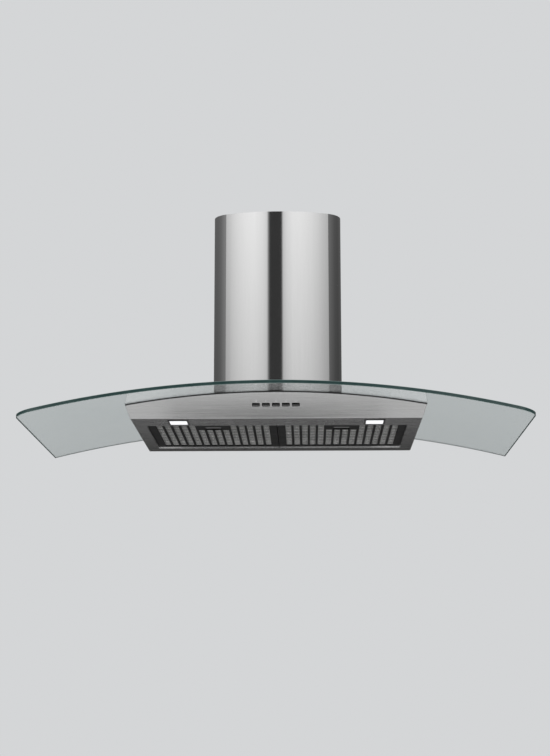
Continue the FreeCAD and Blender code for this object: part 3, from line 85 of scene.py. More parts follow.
# Marks over the buttons. The lamp sign's parts are shares of a mark's height.
MARK_LINE = 0.0384
MARK_HEIGHT = 0.0052
MARKS = ("0", "1", "2", "3")
CAPITAL_SHARE = 0.7          # a figure's height as a share of its font size
INK_THICKNESS = 0.02 * MM
SIGN_RING = (0.20, 0.30)     # inner and outer radius
SIGN_RAY = (0.10, 0.16)      # width and length
SIGN_RAY_OUT = 0.44          # from the ring's middle to a ray's
SIGN_RAYS = 4

# Filters. Places are those of the right one.
FILTER_MIDDLE = 0.119
MESH_X = (0.00205, 0.23595)
MESH_Y = (-0.29785, -0.04015)
MESH_LOW = UNDER + 0.0043
MESH_LAYERS = 2
MESH_LAYER_STEP = 0.0026
MESH_CELL = (0.0064, 0.0040)
MESH_CELLS = 100             # along each side of the sheet that a layer is cut from
WHOLE_CELL = 0.4             # cells cut smaller than this share of a diamond stay closed
MESH_STRAND = 0.00050        # half of a strand's width
MESH_TILT = 0.34             # rise over run from a cell's middle to its corner
MESH_SHEET = 0.0004
MESH_WAVE = 0.0310           # from one fold to the next
MESH_WAVE_RISE = 0.0018      # half of a fold's height
PLATE_HALF = 0.0323          # latch plate
PLATE_REAR = -0.2338

# Stud in the opening's rear hem
HEM_FACE = -0.038
STUD_RADIUS = 1.3 * MM
STUD_FLATNESS = 0.7
STUD_RISE = 1.5 * MM

# Lamps
LAMP_MIDDLE = (0.177, -0.336)
LENS_HALF = (0.0158, 0.0208)
LENS_Z = (UNDER - 0.0008, UNDER + 0.0012)
LENS_CORNER = 1.2 * MM
LENS_ROUNDING = 0.5 * MM


# Shapes

def finish_piece(name, bm, finish, body, replaced=(), crease=30):
    """Makes the object from its finished mesh, and lets it ride on its body."""
    mesh = bpy.data.meshes.new(name)
    bm.to_mesh(mesh)
    bm.free()
    mesh.shade_smooth()
    mesh.set_sharp_from_angle(angle=math.radians(crease))
    piece = bpy.data.objects.new(name, mesh)
    bpy.context.scene.collection.objects.link(piece)
    for layer in (finish if isinstance(finish, tuple) else (finish,)):
        mesh.materials.append(layer)
    if replaced:
        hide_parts(*replaced)
    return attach(piece, body)


def block(bm, x, y, z):
    """A closed block between two corners, given as low and high on each axis."""
    made = bmesh.ops.create_cube(bm, size=1.0)["verts"]
    size = Vector((x[1] - x[0], y[1] - y[0], z[1] - z[0]))
    middle = Vector((x[0] + x[1], y[0] + y[1], z[0] + z[1])) / 2
    bmesh.ops.scale(bm, vec=size, verts=made)
    bmesh.ops.translate(bm, vec=middle, verts=made)
    return made


def soften(bm, edges, width, segments=2):
    """Bevels these edges round."""
    bmesh.ops.bevel(bm, geom=edges, offset=width, segments=segments, profile=0.5, affect="EDGES",
                    material=-1)


def round_upright(bm, verts, radius, segments=4):
    """Rounds the four upright edges of a block."""
    upright = [e for e in bm.edges if e.verts[0] in verts
               and (e.verts[0].co - e.verts[1].co).xy.length < MM / 100]
    soften(bm, upright, radius, segments)


def sharp_edges(bm, angle):
    """The edges whose two faces meet at more than this angle."""
    return [e for e in bm.edges if len(e.link_faces) == 2
            and e.calc_face_angle() > math.radians(angle)]


def rounded_corner(x, y, radius, start, steps=10):
    """Points of a quarter turn, anticlockwise from start degrees, about a corner's own centre."""
    return [(x + radius * math.cos(math.radians(start + 90 * i / steps)),
             y + radius * math.sin(math.radians(start + 90 * i / steps))) for i in range(steps + 1)]


# Glass canopy

def glass_height(radius, x):
    """The height of the bend of this radius, at x."""
    return GLASS_CROWN - GLASS_BEND + math.sqrt(radius ** 2 - x ** 2)


def glass_outline():
    """The flat plate's outline, anticlockwise from its left front corner."""
    left = rounded_corner(-GLASS_HALF + GLASS_CORNER, GLASS_FRONT + GLASS_CORNER, GLASS_CORNER, 180)
    right = rounded_corner(GLASS_HALF - GLASS_CORNER, GLASS_FRONT + GLASS_CORNER, GLASS_CORNER, 270)
    notch_right = rounded_corner(NOTCH_HALF - NOTCH_CORNER, NOTCH_FRONT + NOTCH_CORNER,
                                 NOTCH_CORNER, 270, 6)[::-1]
    notch_left = [(-x, y) for x, y in reversed(notch_right)]
    return (left + right + [(GLASS_HALF, GLASS_REAR), (NOTCH_HALF, GLASS_REAR)] + notch_right
            + notch_left + [(-NOTCH_HALF, GLASS_REAR), (-GLASS_HALF, GLASS_REAR)])


def drill(piece, cutter):
    """Takes a cutter's shape out of a piece for good."""
    tool = piece.modifiers.new("drill", "BOOLEAN")
    tool.operation = "DIFFERENCE"
    tool.solver = "EXACT"
    tool.object = cutter
    view = bpy.context.evaluated_depsgraph_get()
    drilled = bpy.data.meshes.new_from_object(piece.evaluated_get(view))
    piece.modifiers.remove(tool)
    piece.data = drilled
    bpy.data.objects.remove(cutter)


def bolt_drills():
    """Four rods where the bolts go, each square to the bend."""
    bm = bmesh.new()
    for side in (-1, 1):
        for y in BOLT_LINES:
            made = bmesh.ops.create_cone(bm, cap_ends=True, segments=40, radius1=BOLT_HOLE,
                                         radius2=BOLT_HOLE, depth=8 * GLASS_THICK)["verts"]
            bmesh.ops.translate(bm, vec=(0, y, GLASS_CROWN), verts=made)
            bmesh.ops.rotate(bm, cent=(0, 0, GLASS_CROWN - GLASS_BEND), verts=made,
                             matrix=Matrix.Rotation(side * BOLT_TURN, 3, "Y"))
    mesh = bpy.data.meshes.new("bolt_drills")
    bm.to_mesh(mesh)
    bm.free()
    cutter = bpy.data.objects.new("bolt_drills", mesh)
    bpy.context.scene.collection.objects.link(cutter)
    return cutter


def make_glass(finish, rim_finish):
    """A flat plate with ground edges, cut into strips, bent and drilled."""
    bm = bmesh.new()
    plate = bm.faces.new([bm.verts.new((x, y, 0)) for x, y in glass_outline()])
    raised = bmesh.ops.extrude_face_region(bm, geom=[plate])["geom"]
    bmesh.ops.translate(bm, vec=(0, 0, GLASS_THICK),
                        verts=[v for v in raised if isinstance(v, bmesh.types.BMVert)])
    bmesh.ops.recalc_face_normals(bm, faces=bm.faces)
    rims = [e for e in bm.edges if abs(e.verts[0].co.z - e.verts[1].co.z) < MM / 100]
    soften(bm, rims, GLASS_ARRIS)
    for i in range(1, GLASS_STRIPS):
        x = -GLASS_HALF + 2 * GLASS_HALF * i / GLASS_STRIPS
        bmesh.ops.bisect_plane(bm, geom=bm.verts[:] + bm.edges[:] + bm.faces[:], dist=MM / 100,
                               plane_co=(x, 0, 0), plane_no=(1, 0, 0))
    for v in bm.verts:
        share = v.co.z / GLASS_THICK
        low = glass_height(GLASS_BEND, v.co.x)
        high = glass_height(GLASS_BEND + GLASS_THICK, v.co.x)
        v.co.z = low + share * (high - low)
    piece = finish_piece("curved_glass", bm, (finish, rim_finish), "hood", ("glass_canopy",),
                         GLASS_CREASE)
    drill(piece, bolt_drills())
    for face in piece.data.polygons:
        face.material_index = int(abs(face.normal.z) < RIM_STEEP)
    piece.data.set_sharp_from_angle(angle=math.radians(GLASS_CREASE))
    return piece


# Filter mesh

def cut_square(bm, x, y, clear):
    """Cuts the sheet along a rectangle's four sides, and clears what is outside if asked to."""
    for place, way in (((x[0], 0, 0), (-1, 0, 0)), ((x[1], 0, 0), (1, 0, 0)),
                       ((0, y[0], 0), (0, -1, 0)), ((0, y[1], 0), (0, 1, 0))):
        bmesh.ops.bisect_plane(bm, geom=bm.verts[:] + bm.edges[:] + bm.faces[:], dist=MM / 1000,
                               plane_co=place, plane_no=way, clear_outer=clear)


def expanded_sheet(shift):
    """A flat lattice of diamonds, cut to the filter with its latch plate left out."""
    bm = bmesh.new()
    bmesh.ops.create_grid(bm, x_segments=MESH_CELLS, y_segments=MESH_CELLS, size=MESH_CELLS / 2)
    bmesh.ops.rotate(bm, matrix=Matrix.Rotation(math.radians(45), 3, "Z"), verts=bm.verts)
    diagonal = math.sqrt(2)
    bmesh.ops.scale(bm, vec=(MESH_CELL[0] / diagonal, MESH_CELL[1] / diagonal, 1), verts=bm.verts)
    middle = Vector((sum(MESH_X) / 2 + shift * MESH_CELL[0] / 2, sum(MESH_Y) / 2, 0))
    bmesh.ops.translate(bm, vec=middle, verts=bm.verts)
    cut_square(bm, MESH_X, MESH_Y, True)
    plate_x = (FILTER_MIDDLE - PLATE_HALF, FILTER_MIDDLE + PLATE_HALF)
    cut_square(bm, plate_x, (MESH_Y[0], PLATE_REAR), False)
    inside = [f for f in bm.faces if plate_x[0] < f.calc_center_median().x < plate_x[1]
              and f.calc_center_median().y < PLATE_REAR]
    bmesh.ops.delete(bm, geom=inside, context="FACES")
    return bm


def open_cells(bm, tilt):
    """Turns each diamond into four tilted strands."""
    diamond = MESH_CELL[0] * MESH_CELL[1] / 2
    cells = [f for f in bm.faces if f.calc_area() > WHOLE_CELL * diamond]
    bmesh.ops.inset_individual(bm, faces=cells, thickness=MESH_STRAND, use_even_offset=True)
    for cell in cells:
        middle = cell.calc_center_median().y
        for v in cell.verts:
            v.co.z += tilt * (v.co.y - middle)
    bmesh.ops.delete(bm, geom=cells, context="FACES_ONLY")


def make_filter_mesh(side, layer, finish):
    """One layer, made for the right filter and mirrored for the left one."""
    bm = expanded_sheet(layer)
    open_cells(bm, MESH_TILT if layer else -MESH_TILT)
    for v in bm.verts:
        wave = 2 * math.pi * v.co.y / MESH_WAVE
        v.co.z += MESH_LOW + layer * MESH_LAYER_STEP + MESH_WAVE_RISE * (1 - math.cos(wave))
    bmesh.ops.solidify(bm, geom=bm.faces[:], thickness=MESH_SHEET)
    if side == "left":
        bmesh.ops.mirror(bm, geom=bm.verts[:] + bm.edges[:] + bm.faces[:], axis="X")
        old = [f for f in bm.faces if f.calc_center_median().x > 0]
        bmesh.ops.delete(bm, geom=old, context="FACES")
    bmesh.ops.recalc_face_normals(bm, faces=bm.faces)
    name = "expanded_mesh_%s_%d" % (side, layer + 1)
    return finish_piece(name, bm, finish, side + "_filter", ("filter_mesh_" + side,),
                        35)


# Lamps, buttons and marks

def make_lens(side, finish):
    """A flat lens, standing out of its bezel with its lower edges rounded."""
    sign = 1 if side == "right" else -1
    bm = bmesh.new()
    x, y = sign * LAMP_MIDDLE[0], LAMP_MIDDLE[1]
    pane = block(bm, (x - LENS_HALF[0], x + LENS_HALF[0]), (y - LENS_HALF[1], y + LENS_HALF[1]),
                 LENS_Z)
    round_upright(bm, pane, LENS_CORNER)
    lower = [e for e in sharp_edges(bm, 50) if max(v.co.z for v in e.verts) < UNDER]
    soften(bm, lower, LENS_ROUNDING, 3)
    return finish_piece("lens_" + side, bm, finish, "hood", ("lamp_lens_" + side,))


def make_hem_stud(finish):
    """The small black stud in the middle of the rear hem."""
    bm = bmesh.new()
    bmesh.ops.create_uvsphere(bm, u_segments=24, v_segments=12, radius=STUD_RADIUS)
    bmesh.ops.scale(bm, vec=(1.0, STUD_FLATNESS, 1.0), verts=bm.verts)
    bmesh.ops.translate(bm, vec=(0, HEM_FACE, UNDER + STUD_RISE), verts=bm.verts)
    return finish_piece("hem_stud", bm, finish, "hood")


def panel_place():
    """From the front panel's own frame, X across, Y up the slope and Z outwards, to the hood's."""
    up = Vector((0, -math.sin(PANEL_LEAN), math.cos(PANEL_LEAN)))
    out = Vector((0, -math.cos(PANEL_LEAN), -math.sin(PANEL_LEAN)))
    turn = Matrix((Vector((1, 0, 0)), up, out)).transposed()
    return Matrix.Translation((0, PANEL_FOOT, UNDER)) @ turn.to_4x4()


def button_x(index):
    """Where a button stands across the panel, counted from the left one."""
    return (index - (BUTTON_COUNT - 1) / 2) * BUTTON_PITCH


def make_button(index, shade_finish, face_finish):
    """A push button, near-black as painted shade in its slot, with a finger step: its lower half
    stands up as a satin bar.
    """
    x, y = button_x(index), BUTTON_LINE
    w, h = BUTTON_HALF_WIDTH, BUTTON_HALF_HEIGHT
    bm = bmesh.new()
    well = block(bm, (x - w, x + w), (y - h, y + h), WELL_DEPTH)
    round_upright(bm, well, BUTTON_CORNER)
    block(bm, (x - w - FLANGE_LAP, x + w + FLANGE_LAP), (y - h - FLANGE_LAP, y + h + FLANGE_LAP),
          FLANGE_DEPTH)
    block(bm, (x - STEM_HALF, x + STEM_HALF), (y - STEM_HALF, y + STEM_HALF), STEM_DEPTH)
    bar = block(bm, (x - w + BAR_SIDE_GAP, x + w - BAR_SIDE_GAP), (y - h, y - BAR_BELOW), BAR_DEPTH)
    for f in {f for v in bar for f in v.link_faces}:
        f.material_index = 1
    round_upright(bm, bar, BAR_CORNER)
    top = [e for e in bm.edges if min(v.co.z for v in e.verts) > BAR_DEPTH[1] - MM / 100]
    soften(bm, top, BAR_ROUNDING, 3)
    bmesh.ops.transform(bm, matrix=panel_place(), verts=bm.verts)
    name = "push_button_cap_%d" % (index + 1)
    return finish_piece(name, bm, (shade_finish, face_finish), "push_button_%d" % (index + 1),
                        ("button_%d" % (index + 1),))


def number_mesh(mark):
    """One figure of the buttons' numbering, as a mesh about its own middle."""
    line = bpy.data.curves.new("figure", "FONT")
    line.body = mark
    line.size = MARK_HEIGHT / CAPITAL_SHARE
    line.align_x = "CENTER"
    line.align_y = "CENTER"
    line.extrude = INK_THICKNESS / 2
    maker = bpy.data.objects.new("figure", line)
    bpy.context.scene.collection.objects.link(maker)
    view = bpy.context.evaluated_depsgraph_get()
    mesh = bpy.data.meshes.new_from_object(maker.evaluated_get(view))
    bpy.data.objects.remove(maker)
    return mesh


def lamp_sign(bm):
    """A ring with four short rays, which stands for the lamps."""
    inner, outer = (share * MARK_HEIGHT for share in SIGN_RING)
    ring = bmesh.ops.create_circle(bm, segments=32, radius=outer)["verts"]
    faces = [bm.faces.new(ring)]
    bm.normal_update()
    bmesh.ops.inset_individual(bm, faces=faces, thickness=outer - inner, use_even_offset=True)
    bmesh.ops.delete(bm, geom=faces, context="FACES_ONLY")
    for i in range(SIGN_RAYS):
        ray = bmesh.ops.create_grid(bm, x_segments=1, y_segments=1, size=0.5)["verts"]
        bmesh.ops.scale(bm, vec=(SIGN_RAY[0] * MARK_HEIGHT, SIGN_RAY[1] * MARK_HEIGHT, 1), verts=ray)
        bmesh.ops.translate(bm, vec=(0, SIGN_RAY_OUT * MARK_HEIGHT, 0), verts=ray)
        turn = Matrix.Rotation(math.radians(360 / SIGN_RAYS * i), 3, "Z")
        bmesh.ops.rotate(bm, matrix=turn, verts=ray)


def make_mark(index, finish):
    """The print over a button: its figure, or the lamp sign over the last one."""
    bm = bmesh.new()
    if index < len(MARKS):
        bm.from_mesh(number_mesh(MARKS[index]))
    else:
        lamp_sign(bm)
        bm.normal_update()
        bmesh.ops.solidify(bm, geom=bm.faces[:], thickness=INK_THICKNESS)
    bmesh.ops.translate(bm, vec=(button_x(index), MARK_LINE, INK_THICKNESS), verts=bm.verts)
    bmesh.ops.transform(bm, matrix=panel_place(), verts=bm.verts)
    bmesh.ops.recalc_face_normals(bm, faces=bm.faces)
    return finish_piece("panel_mark_%d" % (index + 1), bm, finish, "hood")


# Node helpers

def add(tree, kind, **settings):
    """A new node, with its settings."""
    made = tree.nodes.new("ShaderNode" + kind)
    for key, value in settings.items():
        setattr(made, key, value)
    return made


def feed(tree, socket, value):
    """Links a socket to an input, or sets the input to a plain value."""
    if isinstance(value, bpy.types.NodeSocket):
        tree.links.new(value, socket)
    else:
        socket.default_value = value


def maths(tree, operation, *values, clamp=False):
    """One step of arithmetic on sockets or plain numbers."""
    made = add(tree, "Math", operation=operation, use_clamp=clamp)
    for socket, value in zip(made.inputs, values):
        feed(tree, socket, value)
    return made.outputs[0]


def times(tree, first, second, clamp=False):
    return maths(tree, "MULTIPLY", first, second, clamp=clamp)


def plus(tree, first, second, clamp=False):
    return maths(tree, "ADD", first, second, clamp=clamp)


def axes(tree, vector):
    """The X, Y and Z of a vector, by name."""
    made = add(tree, "SeparateXYZ")
    feed(tree, made.inputs[0], vector)
    return made.outputs


def stretch(tree, place, scale):
    """A place with each axis scaled by its own factor."""
    made = add(tree, "VectorMath", operation="MULTIPLY")
    feed(tree, made.inputs[0], place)
    feed(tree, made.inputs[1], scale)
    return made.outputs[0]


def noise(tree, place, scale, detail=2.0, roughness=0.5):
    """A cloudy pattern, with this many cells to each unit of its place."""
    made = add(tree, "TexNoise")
    feed(tree, made.inputs["Vector"], place)
    feed(tree, made.inputs["Scale"], scale)
    made.inputs["Detail"].default_value = detail
    made.inputs["Roughness"].default_value = roughness
    return made.outputs["Fac"]


def spread(tree, value, low, high, to_low=0.0, to_high=1.0, smooth=True):
    """Maps low..high to to_low..to_high, and holds the ends beyond."""
    made = add(tree, "MapRange", interpolation_type="SMOOTHSTEP" if smooth else "LINEAR")
    for socket, number in zip(made.inputs, (value, low, high, to_low, to_high)):
        feed(tree, socket, number)
    return made.outputs[0]


def between(tree, value, low, high, soft):
    """1 between low and high, and 0 outside, with soft edges."""
    rise = spread(tree, value, low - soft, low + soft)
    fall = spread(tree, value, high - soft, high + soft, 1.0, 0.0)
    return times(tree, rise, fall)


def blend(tree, share, first, second):
    """Mixes two colours, all second where the share is 1."""
    made = add(tree, "Mix", data_type="RGBA")
    feed(tree, made.inputs["Factor"], share)
    feed(tree, made.inputs[6], first)
    feed(tree, made.inputs[7], second)
    return made.outputs[2]


def open_group(name, inputs, outputs):
    """A new node group, with the sockets that its own nodes start from and end in."""
    group = bpy.data.node_groups.new(name, "ShaderNodeTree")
    for label, kind, value in inputs:
        socket = group.interface.new_socket(label, in_out="INPUT", socket_type="NodeSocket" + kind)
        if value is not None:
            socket.default_value = value
    for label, kind in outputs:
        group.interface.new_socket(label, in_out="OUTPUT", socket_type="NodeSocket" + kind)
    given = group.nodes.new("NodeGroupInput").outputs
    return group, given, group.nodes.new("NodeGroupOutput").inputs


def use(tree, group, **values):
    """Puts a shared group into a material, and returns its outputs."""
    made = tree.nodes.new("ShaderNodeGroup")
    made.node_tree = group
    for label, value in values.items():
        feed(tree, made.inputs[label.replace("_", " ")], value)
    return made.outputs


# Effects that several finishes share

def brushed_grain():
    """Fine lines that run along the stretched axis, with broad faint bands."""
    group, given, out = open_group(
        "brushed_grain", (("Place", "Vector", None), ("Stretch", "Vector", None)),
        (("Lines", "Float"), ("Bands", "Float")))
    place = stretch(group, given["Place"], given["Stretch"])
    fine = noise(group, place, 1.0, 3.0, 0.65)
    broad = noise(group, place, 0.12, 2.0, 0.5)
    feed(group, out["Lines"], spread(group, fine, 0.25, 0.75))
    feed(group, out["Bands"], spread(group, broad, 0.3, 0.7))
    return group


def edge_wear():
    """Where an edge is rubbed bright, on steel also as a painted highlight, and the normal of its
    slightly rounded corner.
    """
    group, given, out = open_group(
        "edge_wear",
        (("Place", "Vector", None), ("Radius", "Float", 0.0005), ("Scale", "Float", 120.0)),
        (("Mask", "Float"), ("Normal", "Vector")))
    corner = add(group, "Bevel", samples=4)
    feed(group, corner.inputs["Radius"], given["Radius"])
    flat = add(group, "NewGeometry")
    same = add(group, "VectorMath", operation="DOT_PRODUCT")
    feed(group, same.inputs[0], corner.outputs[0])
    feed(group, same.inputs[1], flat.outputs["Normal"])
    turned = spread(group, same.outputs["Value"], 0.99, 0.80, 0.0, 1.0)
    patches = spread(group, noise(group, given["Place"], given["Scale"], 3.0), 0.35, 0.65)
    feed(group, out["Mask"], times(group, turned, patches))
    feed(group, out["Normal"], corner.outputs[0])
    return group


def handling():
    """Faint smears and finger marks left by wiping."""
    group, given, out = open_group(
        "handling", (("Place", "Vector", None), ("Scale", "Float", 9.0)), (("Mask", "Float"),))
    smear = noise(group, stretch(group, given["Place"], (1.0, 1.0, 2.4)), given["Scale"], 4.0, 0.6)
    feed(group, out["Mask"], spread(group, smear, 0.42, 0.72))
    return group


def moulded_skin():
    """The fine pebble of moulded plastic or sprayed paint."""
    group, given, out = open_group(
        "moulded_skin", (("Place", "Vector", None), ("Scale", "Float", 1400.0)),
        (("Height", "Float"), ("Tone", "Float")))
    feed(group, out["Height"], noise(group, given["Place"], given["Scale"], 2.0, 0.6))
    feed(group, out["Tone"], spread(group, noise(group, given["Place"], 26.0, 3.0), 0.3, 0.7))
    return group


def zinc_spangle():
    """The crystals of hot-dipped zinc."""
    group, given, out = open_group(
        "zinc_spangle", (("Place", "Vector", None), ("Scale", "Float", 130.0)),
        (("Crystal", "Float"), ("Cloud", "Float")))
    cells = add(group, "TexVoronoi")
    feed(group, cells.inputs["Vector"], given["Place"])
    feed(group, cells.inputs["Scale"], given["Scale"])
    split = add(group, "SeparateColor")
    feed(group, split.inputs[0], cells.outputs["Color"])
    feed(group, out["Crystal"], split.outputs[0])
    feed(group, out["Cloud"], spread(group, noise(group, given["Place"], 14.0, 3.0), 0.3, 0.7))
    return group


def settled_dust():
    """Dust and cooking film on faces that look up."""
    group, given, out = open_group(
        "settled_dust", (("Place", "Vector", None), ("Amount", "Float", 0.3)), (("Mask", "Float"),))
    face = axes(group, add(group, "NewGeometry").outputs["Normal"])
    upward = spread(group, face["Z"], 0.5, 1.0)
    patches = spread(group, noise(group, given["Place"], 30.0, 5.0, 0.65), 0.35, 0.75)
    feed(group, out["Mask"], times(group, times(group, upward, patches), given["Amount"]))
    return group


grain_group = brushed_grain()
wear_group = edge_wear()
handling_group = handling()
skin_group = moulded_skin()
spangle_group = zinc_spangle()
dust_group = settled_dust()


# Finishes

# Rubbed steel edges, also a painted highlight along the folds
RUBBED_AND_HIGHLIT_STEEL = (0.94, 0.94, 0.93, 1.0)
DUST_ON_STEEL = (0.34, 0.33, 0.31, 1.0)
# Grey of the painted shade on the underside, towards the wall
WALL_SHADE_GREY = (0.17, 0.168, 0.162, 1.0)
RUBBED_ZINC = (0.78, 0.79, 0.80, 1.0)
DUST_ON_ZINC = (0.30, 0.29, 0.27, 1.0)
DUST_ON_SKIN = (0.27, 0.26, 0.24, 1.0)
# Filter mesh ends: greasy metal in painted shade, and clean metal in painted light
MESH_GREASE_AND_SHADE = (0.10, 0.098, 0.094, 1.0)
MESH_CLEAN_AND_LIT = (0.98, 0.98, 0.97, 1.0)
GRAIN_ALONG = 14.0           # noise cells in a metre, along the brushed lines and across them
GRAIN_ACROSS = 3600.0
PANEL_MIDDLE_Z = UNDER + 0.018
PANEL_ROUNDING = 3.0
PANEL_END = 0.175            # from the middle to where the panel starts to turn back
PANEL_END_ROUNDING = 1.2
LENS_LIT = (0.0142, 0.0125)  # half of the brightest part, across and along
LENS_LIT_END = (LENS_HALF[0], 0.0195)    # half of the part outside which it is dimmest


def start_finish(name, metallic, roughness):
    """A new material: itself, its nodes, its shader's inputs and the object's own coordinates."""
    finish = bpy.data.materials.new(name)
    finish.use_nodes = True
    tree = finish.node_tree
    shader = tree.nodes["Principled BSDF"]
    shader.inputs["Metallic"].default_value = metallic
    shader.inputs["Roughness"].default_value = roughness
    place = add(tree, "TexCoord").outputs["Object"]
    return finish, tree, shader.inputs, place


def relief(tree, height, depth, normal=None):
    """A bump of this depth, in metres, on top of another normal."""
    made = add(tree, "Bump")
    made.inputs["Strength"].default_value = 1.0
    made.inputs["Distance"].default_value = depth
    feed(tree, made.inputs["Height"], height)
    if normal is not None:
        feed(tree, made.inputs["Normal"], normal)
    return made.outputs[0]


def crowned(tree, place):
    """The pressed front panel: a little round from foot to top, and turned back at both ends."""
    spot = axes(tree, place)
    rise = maths(tree, "SUBTRACT", spot["Z"], PANEL_MIDDLE_Z)
    round_up = times(tree, times(tree, rise, rise), PANEL_ROUNDING)
    past = maths(tree, "SUBTRACT", maths(tree, "ABSOLUTE", spot["X"]), PANEL_END)
    past = maths(tree, "MAXIMUM", past, 0.0)
    turned_back = times(tree, times(tree, past, past), PANEL_END_ROUNDING)
    return times(tree, plus(tree, round_up, turned_back), -1.0)


def painted_wall_shade(tree, place):
    """Painted shade on the underside's down-facing faces, darker and darker towards the wall."""
    face = axes(tree, add(tree, "NewGeometry").outputs["Normal"])
    down = spread(tree, face["Z"], -0.80, -0.95)
    rearward = spread(tree, axes(tree, place)["Y"], -0.38, 0.0, 0.0, 0.95, smooth=False)
    return times(tree, down, rearward)


def stainless(name, direction, dark, light, smooth, coarse, line_depth, corner=0.0005, shape=None,
              film=None):
    """Brushed stainless sheet, its lines along the given axis, pressed to a shape or with painted
    shade from the film argument.
    """
    finish, tree, shader, place = start_finish(name, 1.0, smooth)
    lines = tuple(GRAIN_ALONG if axis == direction else GRAIN_ACROSS for axis in "XYZ")
    grain = use(tree, grain_group, Place=place, Stretch=lines)
    wear = use(tree, wear_group, Place=place, Radius=corner)
    smear = use(tree, handling_group, Place=place)["Mask"]
    dust = use(tree, dust_group, Place=place, Amount=0.35)["Mask"]
    tone = plus(tree, times(tree, grain["Lines"], 0.86), times(tree, grain["Bands"], 0.14))
    steel = blend(tree, tone, dark + (1.0,), light + (1.0,))
    # The film argument adds painted shade: grey that darkens the down-facing faces towards the wall
    if film:
        steel = blend(tree, film(tree, place), steel, WALL_SHADE_GREY)
    # Rubbed edges, made brighter still as a painted highlight along the folds
    steel = blend(tree, times(tree, wear["Mask"], 0.8), steel, RUBBED_AND_HIGHLIT_STEEL)
    feed(tree, shader["Base Color"], blend(tree, dust, steel, DUST_ON_STEEL))
    rough = spread(tree, grain["Lines"], 0.0, 1.0, smooth, coarse, smooth=False)
    rough = plus(tree, rough, times(tree, smear, 0.15 * (coarse - smooth)))
    feed(tree, shader["Roughness"], plus(tree, rough, times(tree, dust, 0.4), clamp=True))
    normal = wear["Normal"]
    if shape:
        normal = relief(tree, shape(tree, place), 1.0, normal)
    feed(tree, shader["Normal"], relief(tree, grain["Lines"], line_depth, normal))
    return finish


def filter_aluminium():
    """Expanded aluminium: painted light on the crests of its folds and painted shade in the folds
    between, brighter towards the rear, with random greasy patches.
    """
    finish, tree, shader, place = start_finish("filter_aluminium", 1.0, 0.32)
    y = axes(tree, place)["Y"]
    drift = times(tree, noise(tree, place, 10.0, 2.0, 0.5), 1.2)
    turn = plus(tree, times(tree, y, 2 * math.pi / MESH_WAVE), drift)
    # Painted light on the folds' crests and painted shade in the folds between
    crest = spread(tree, maths(tree, "SINE", turn), -0.5, 0.6, 0.45, 1.0)
    along_folds = stretch(tree, place, (1.0, 0.35, 1.0))
    patch = spread(tree, noise(tree, along_folds, 160.0, 3.0, 0.7), 0.36, 0.64)
    rear = spread(tree, y, -0.13, -0.045)
    # Random greasy patches, brighter towards the rear, and painted light and shade of the folds
    tone_and_painted_light = plus(tree, times(tree, patch, 0.30), times(tree, rear, 0.30))
    tone_and_painted_light = times(tree, plus(tree, tone_and_painted_light, 0.72), crest, clamp=True)
    feed(tree, shader["Base Color"], blend(tree, tone_and_painted_light, MESH_GREASE_AND_SHADE, MESH_CLEAN_AND_LIT))
    feed(tree, shader["Roughness"], spread(tree, tone_and_painted_light, 0.0, 1.0, 0.44, 0.26, smooth=False))
    feed(tree, shader["Normal"], relief(tree, noise(tree, place, 2400.0, 2.0), 0.00002))
    return finish


def zinc_sheet(name, dark, light, roughness, scale):
    """Zinc-coated steel: crystals of this many to a metre, with dust on what looks up."""
    finish, tree, shader, place = start_finish(name, 1.0, roughness)
    zinc = use(tree, spangle_group, Place=place, Scale=scale)
    wear = use(tree, wear_group, Place=place, Radius=0.0004)
    dust = use(tree, dust_group, Place=place, Amount=0.22)["Mask"]
    tone = plus(tree, times(tree, zinc["Crystal"], 0.75), times(tree, zinc["Cloud"], 0.25))
    metal = blend(tree, tone, dark + (1.0,), light + (1.0,))
    metal = blend(tree, wear["Mask"], metal, RUBBED_ZINC)
    feed(tree, shader["Base Color"], blend(tree, dust, metal, DUST_ON_ZINC))
    rough = plus(tree, roughness - 0.08, times(tree, zinc["Crystal"], 0.16))
    feed(tree, shader["Roughness"], plus(tree, rough, times(tree, dust, 0.35), clamp=True))
    feed(tree, shader["Normal"], relief(tree, zinc["Crystal"], 0.00002, wear["Normal"]))
    return finish


def skinned(name, dark, light, roughness, worn, pebble=1400.0, depth=0.00003, metallic=0.0,
            dusty=0.3, gloss=0.5):
    """Moulded plastic, rubber or sprayed paint: a pebbled skin, cloudy tone, rubbed corners, dust."""
    finish, tree, shader, place = start_finish(name, metallic, roughness)
    shader["Specular IOR Level"].default_value = gloss
    skin = use(tree, skin_group, Place=place, Scale=pebble)
    wear = use(tree, wear_group, Place=place, Radius=0.0004)
    dust = use(tree, dust_group, Place=place, Amount=dusty)["Mask"]
    tone = blend(tree, skin["Tone"], dark + (1.0,), light + (1.0,))
    tone = blend(tree, times(tree, wear["Mask"], 0.6), tone, worn + (1.0,))
    feed(tree, shader["Base Color"], blend(tree, dust, tone, DUST_ON_SKIN))
    rough = plus(tree, roughness - 0.06, times(tree, skin["Tone"], 0.12))
    feed(tree, shader["Roughness"], plus(tree, rough, times(tree, dust, 0.3), clamp=True))
    feed(tree, shader["Normal"], relief(tree, skin["Height"], depth, wear["Normal"]))
    return finish


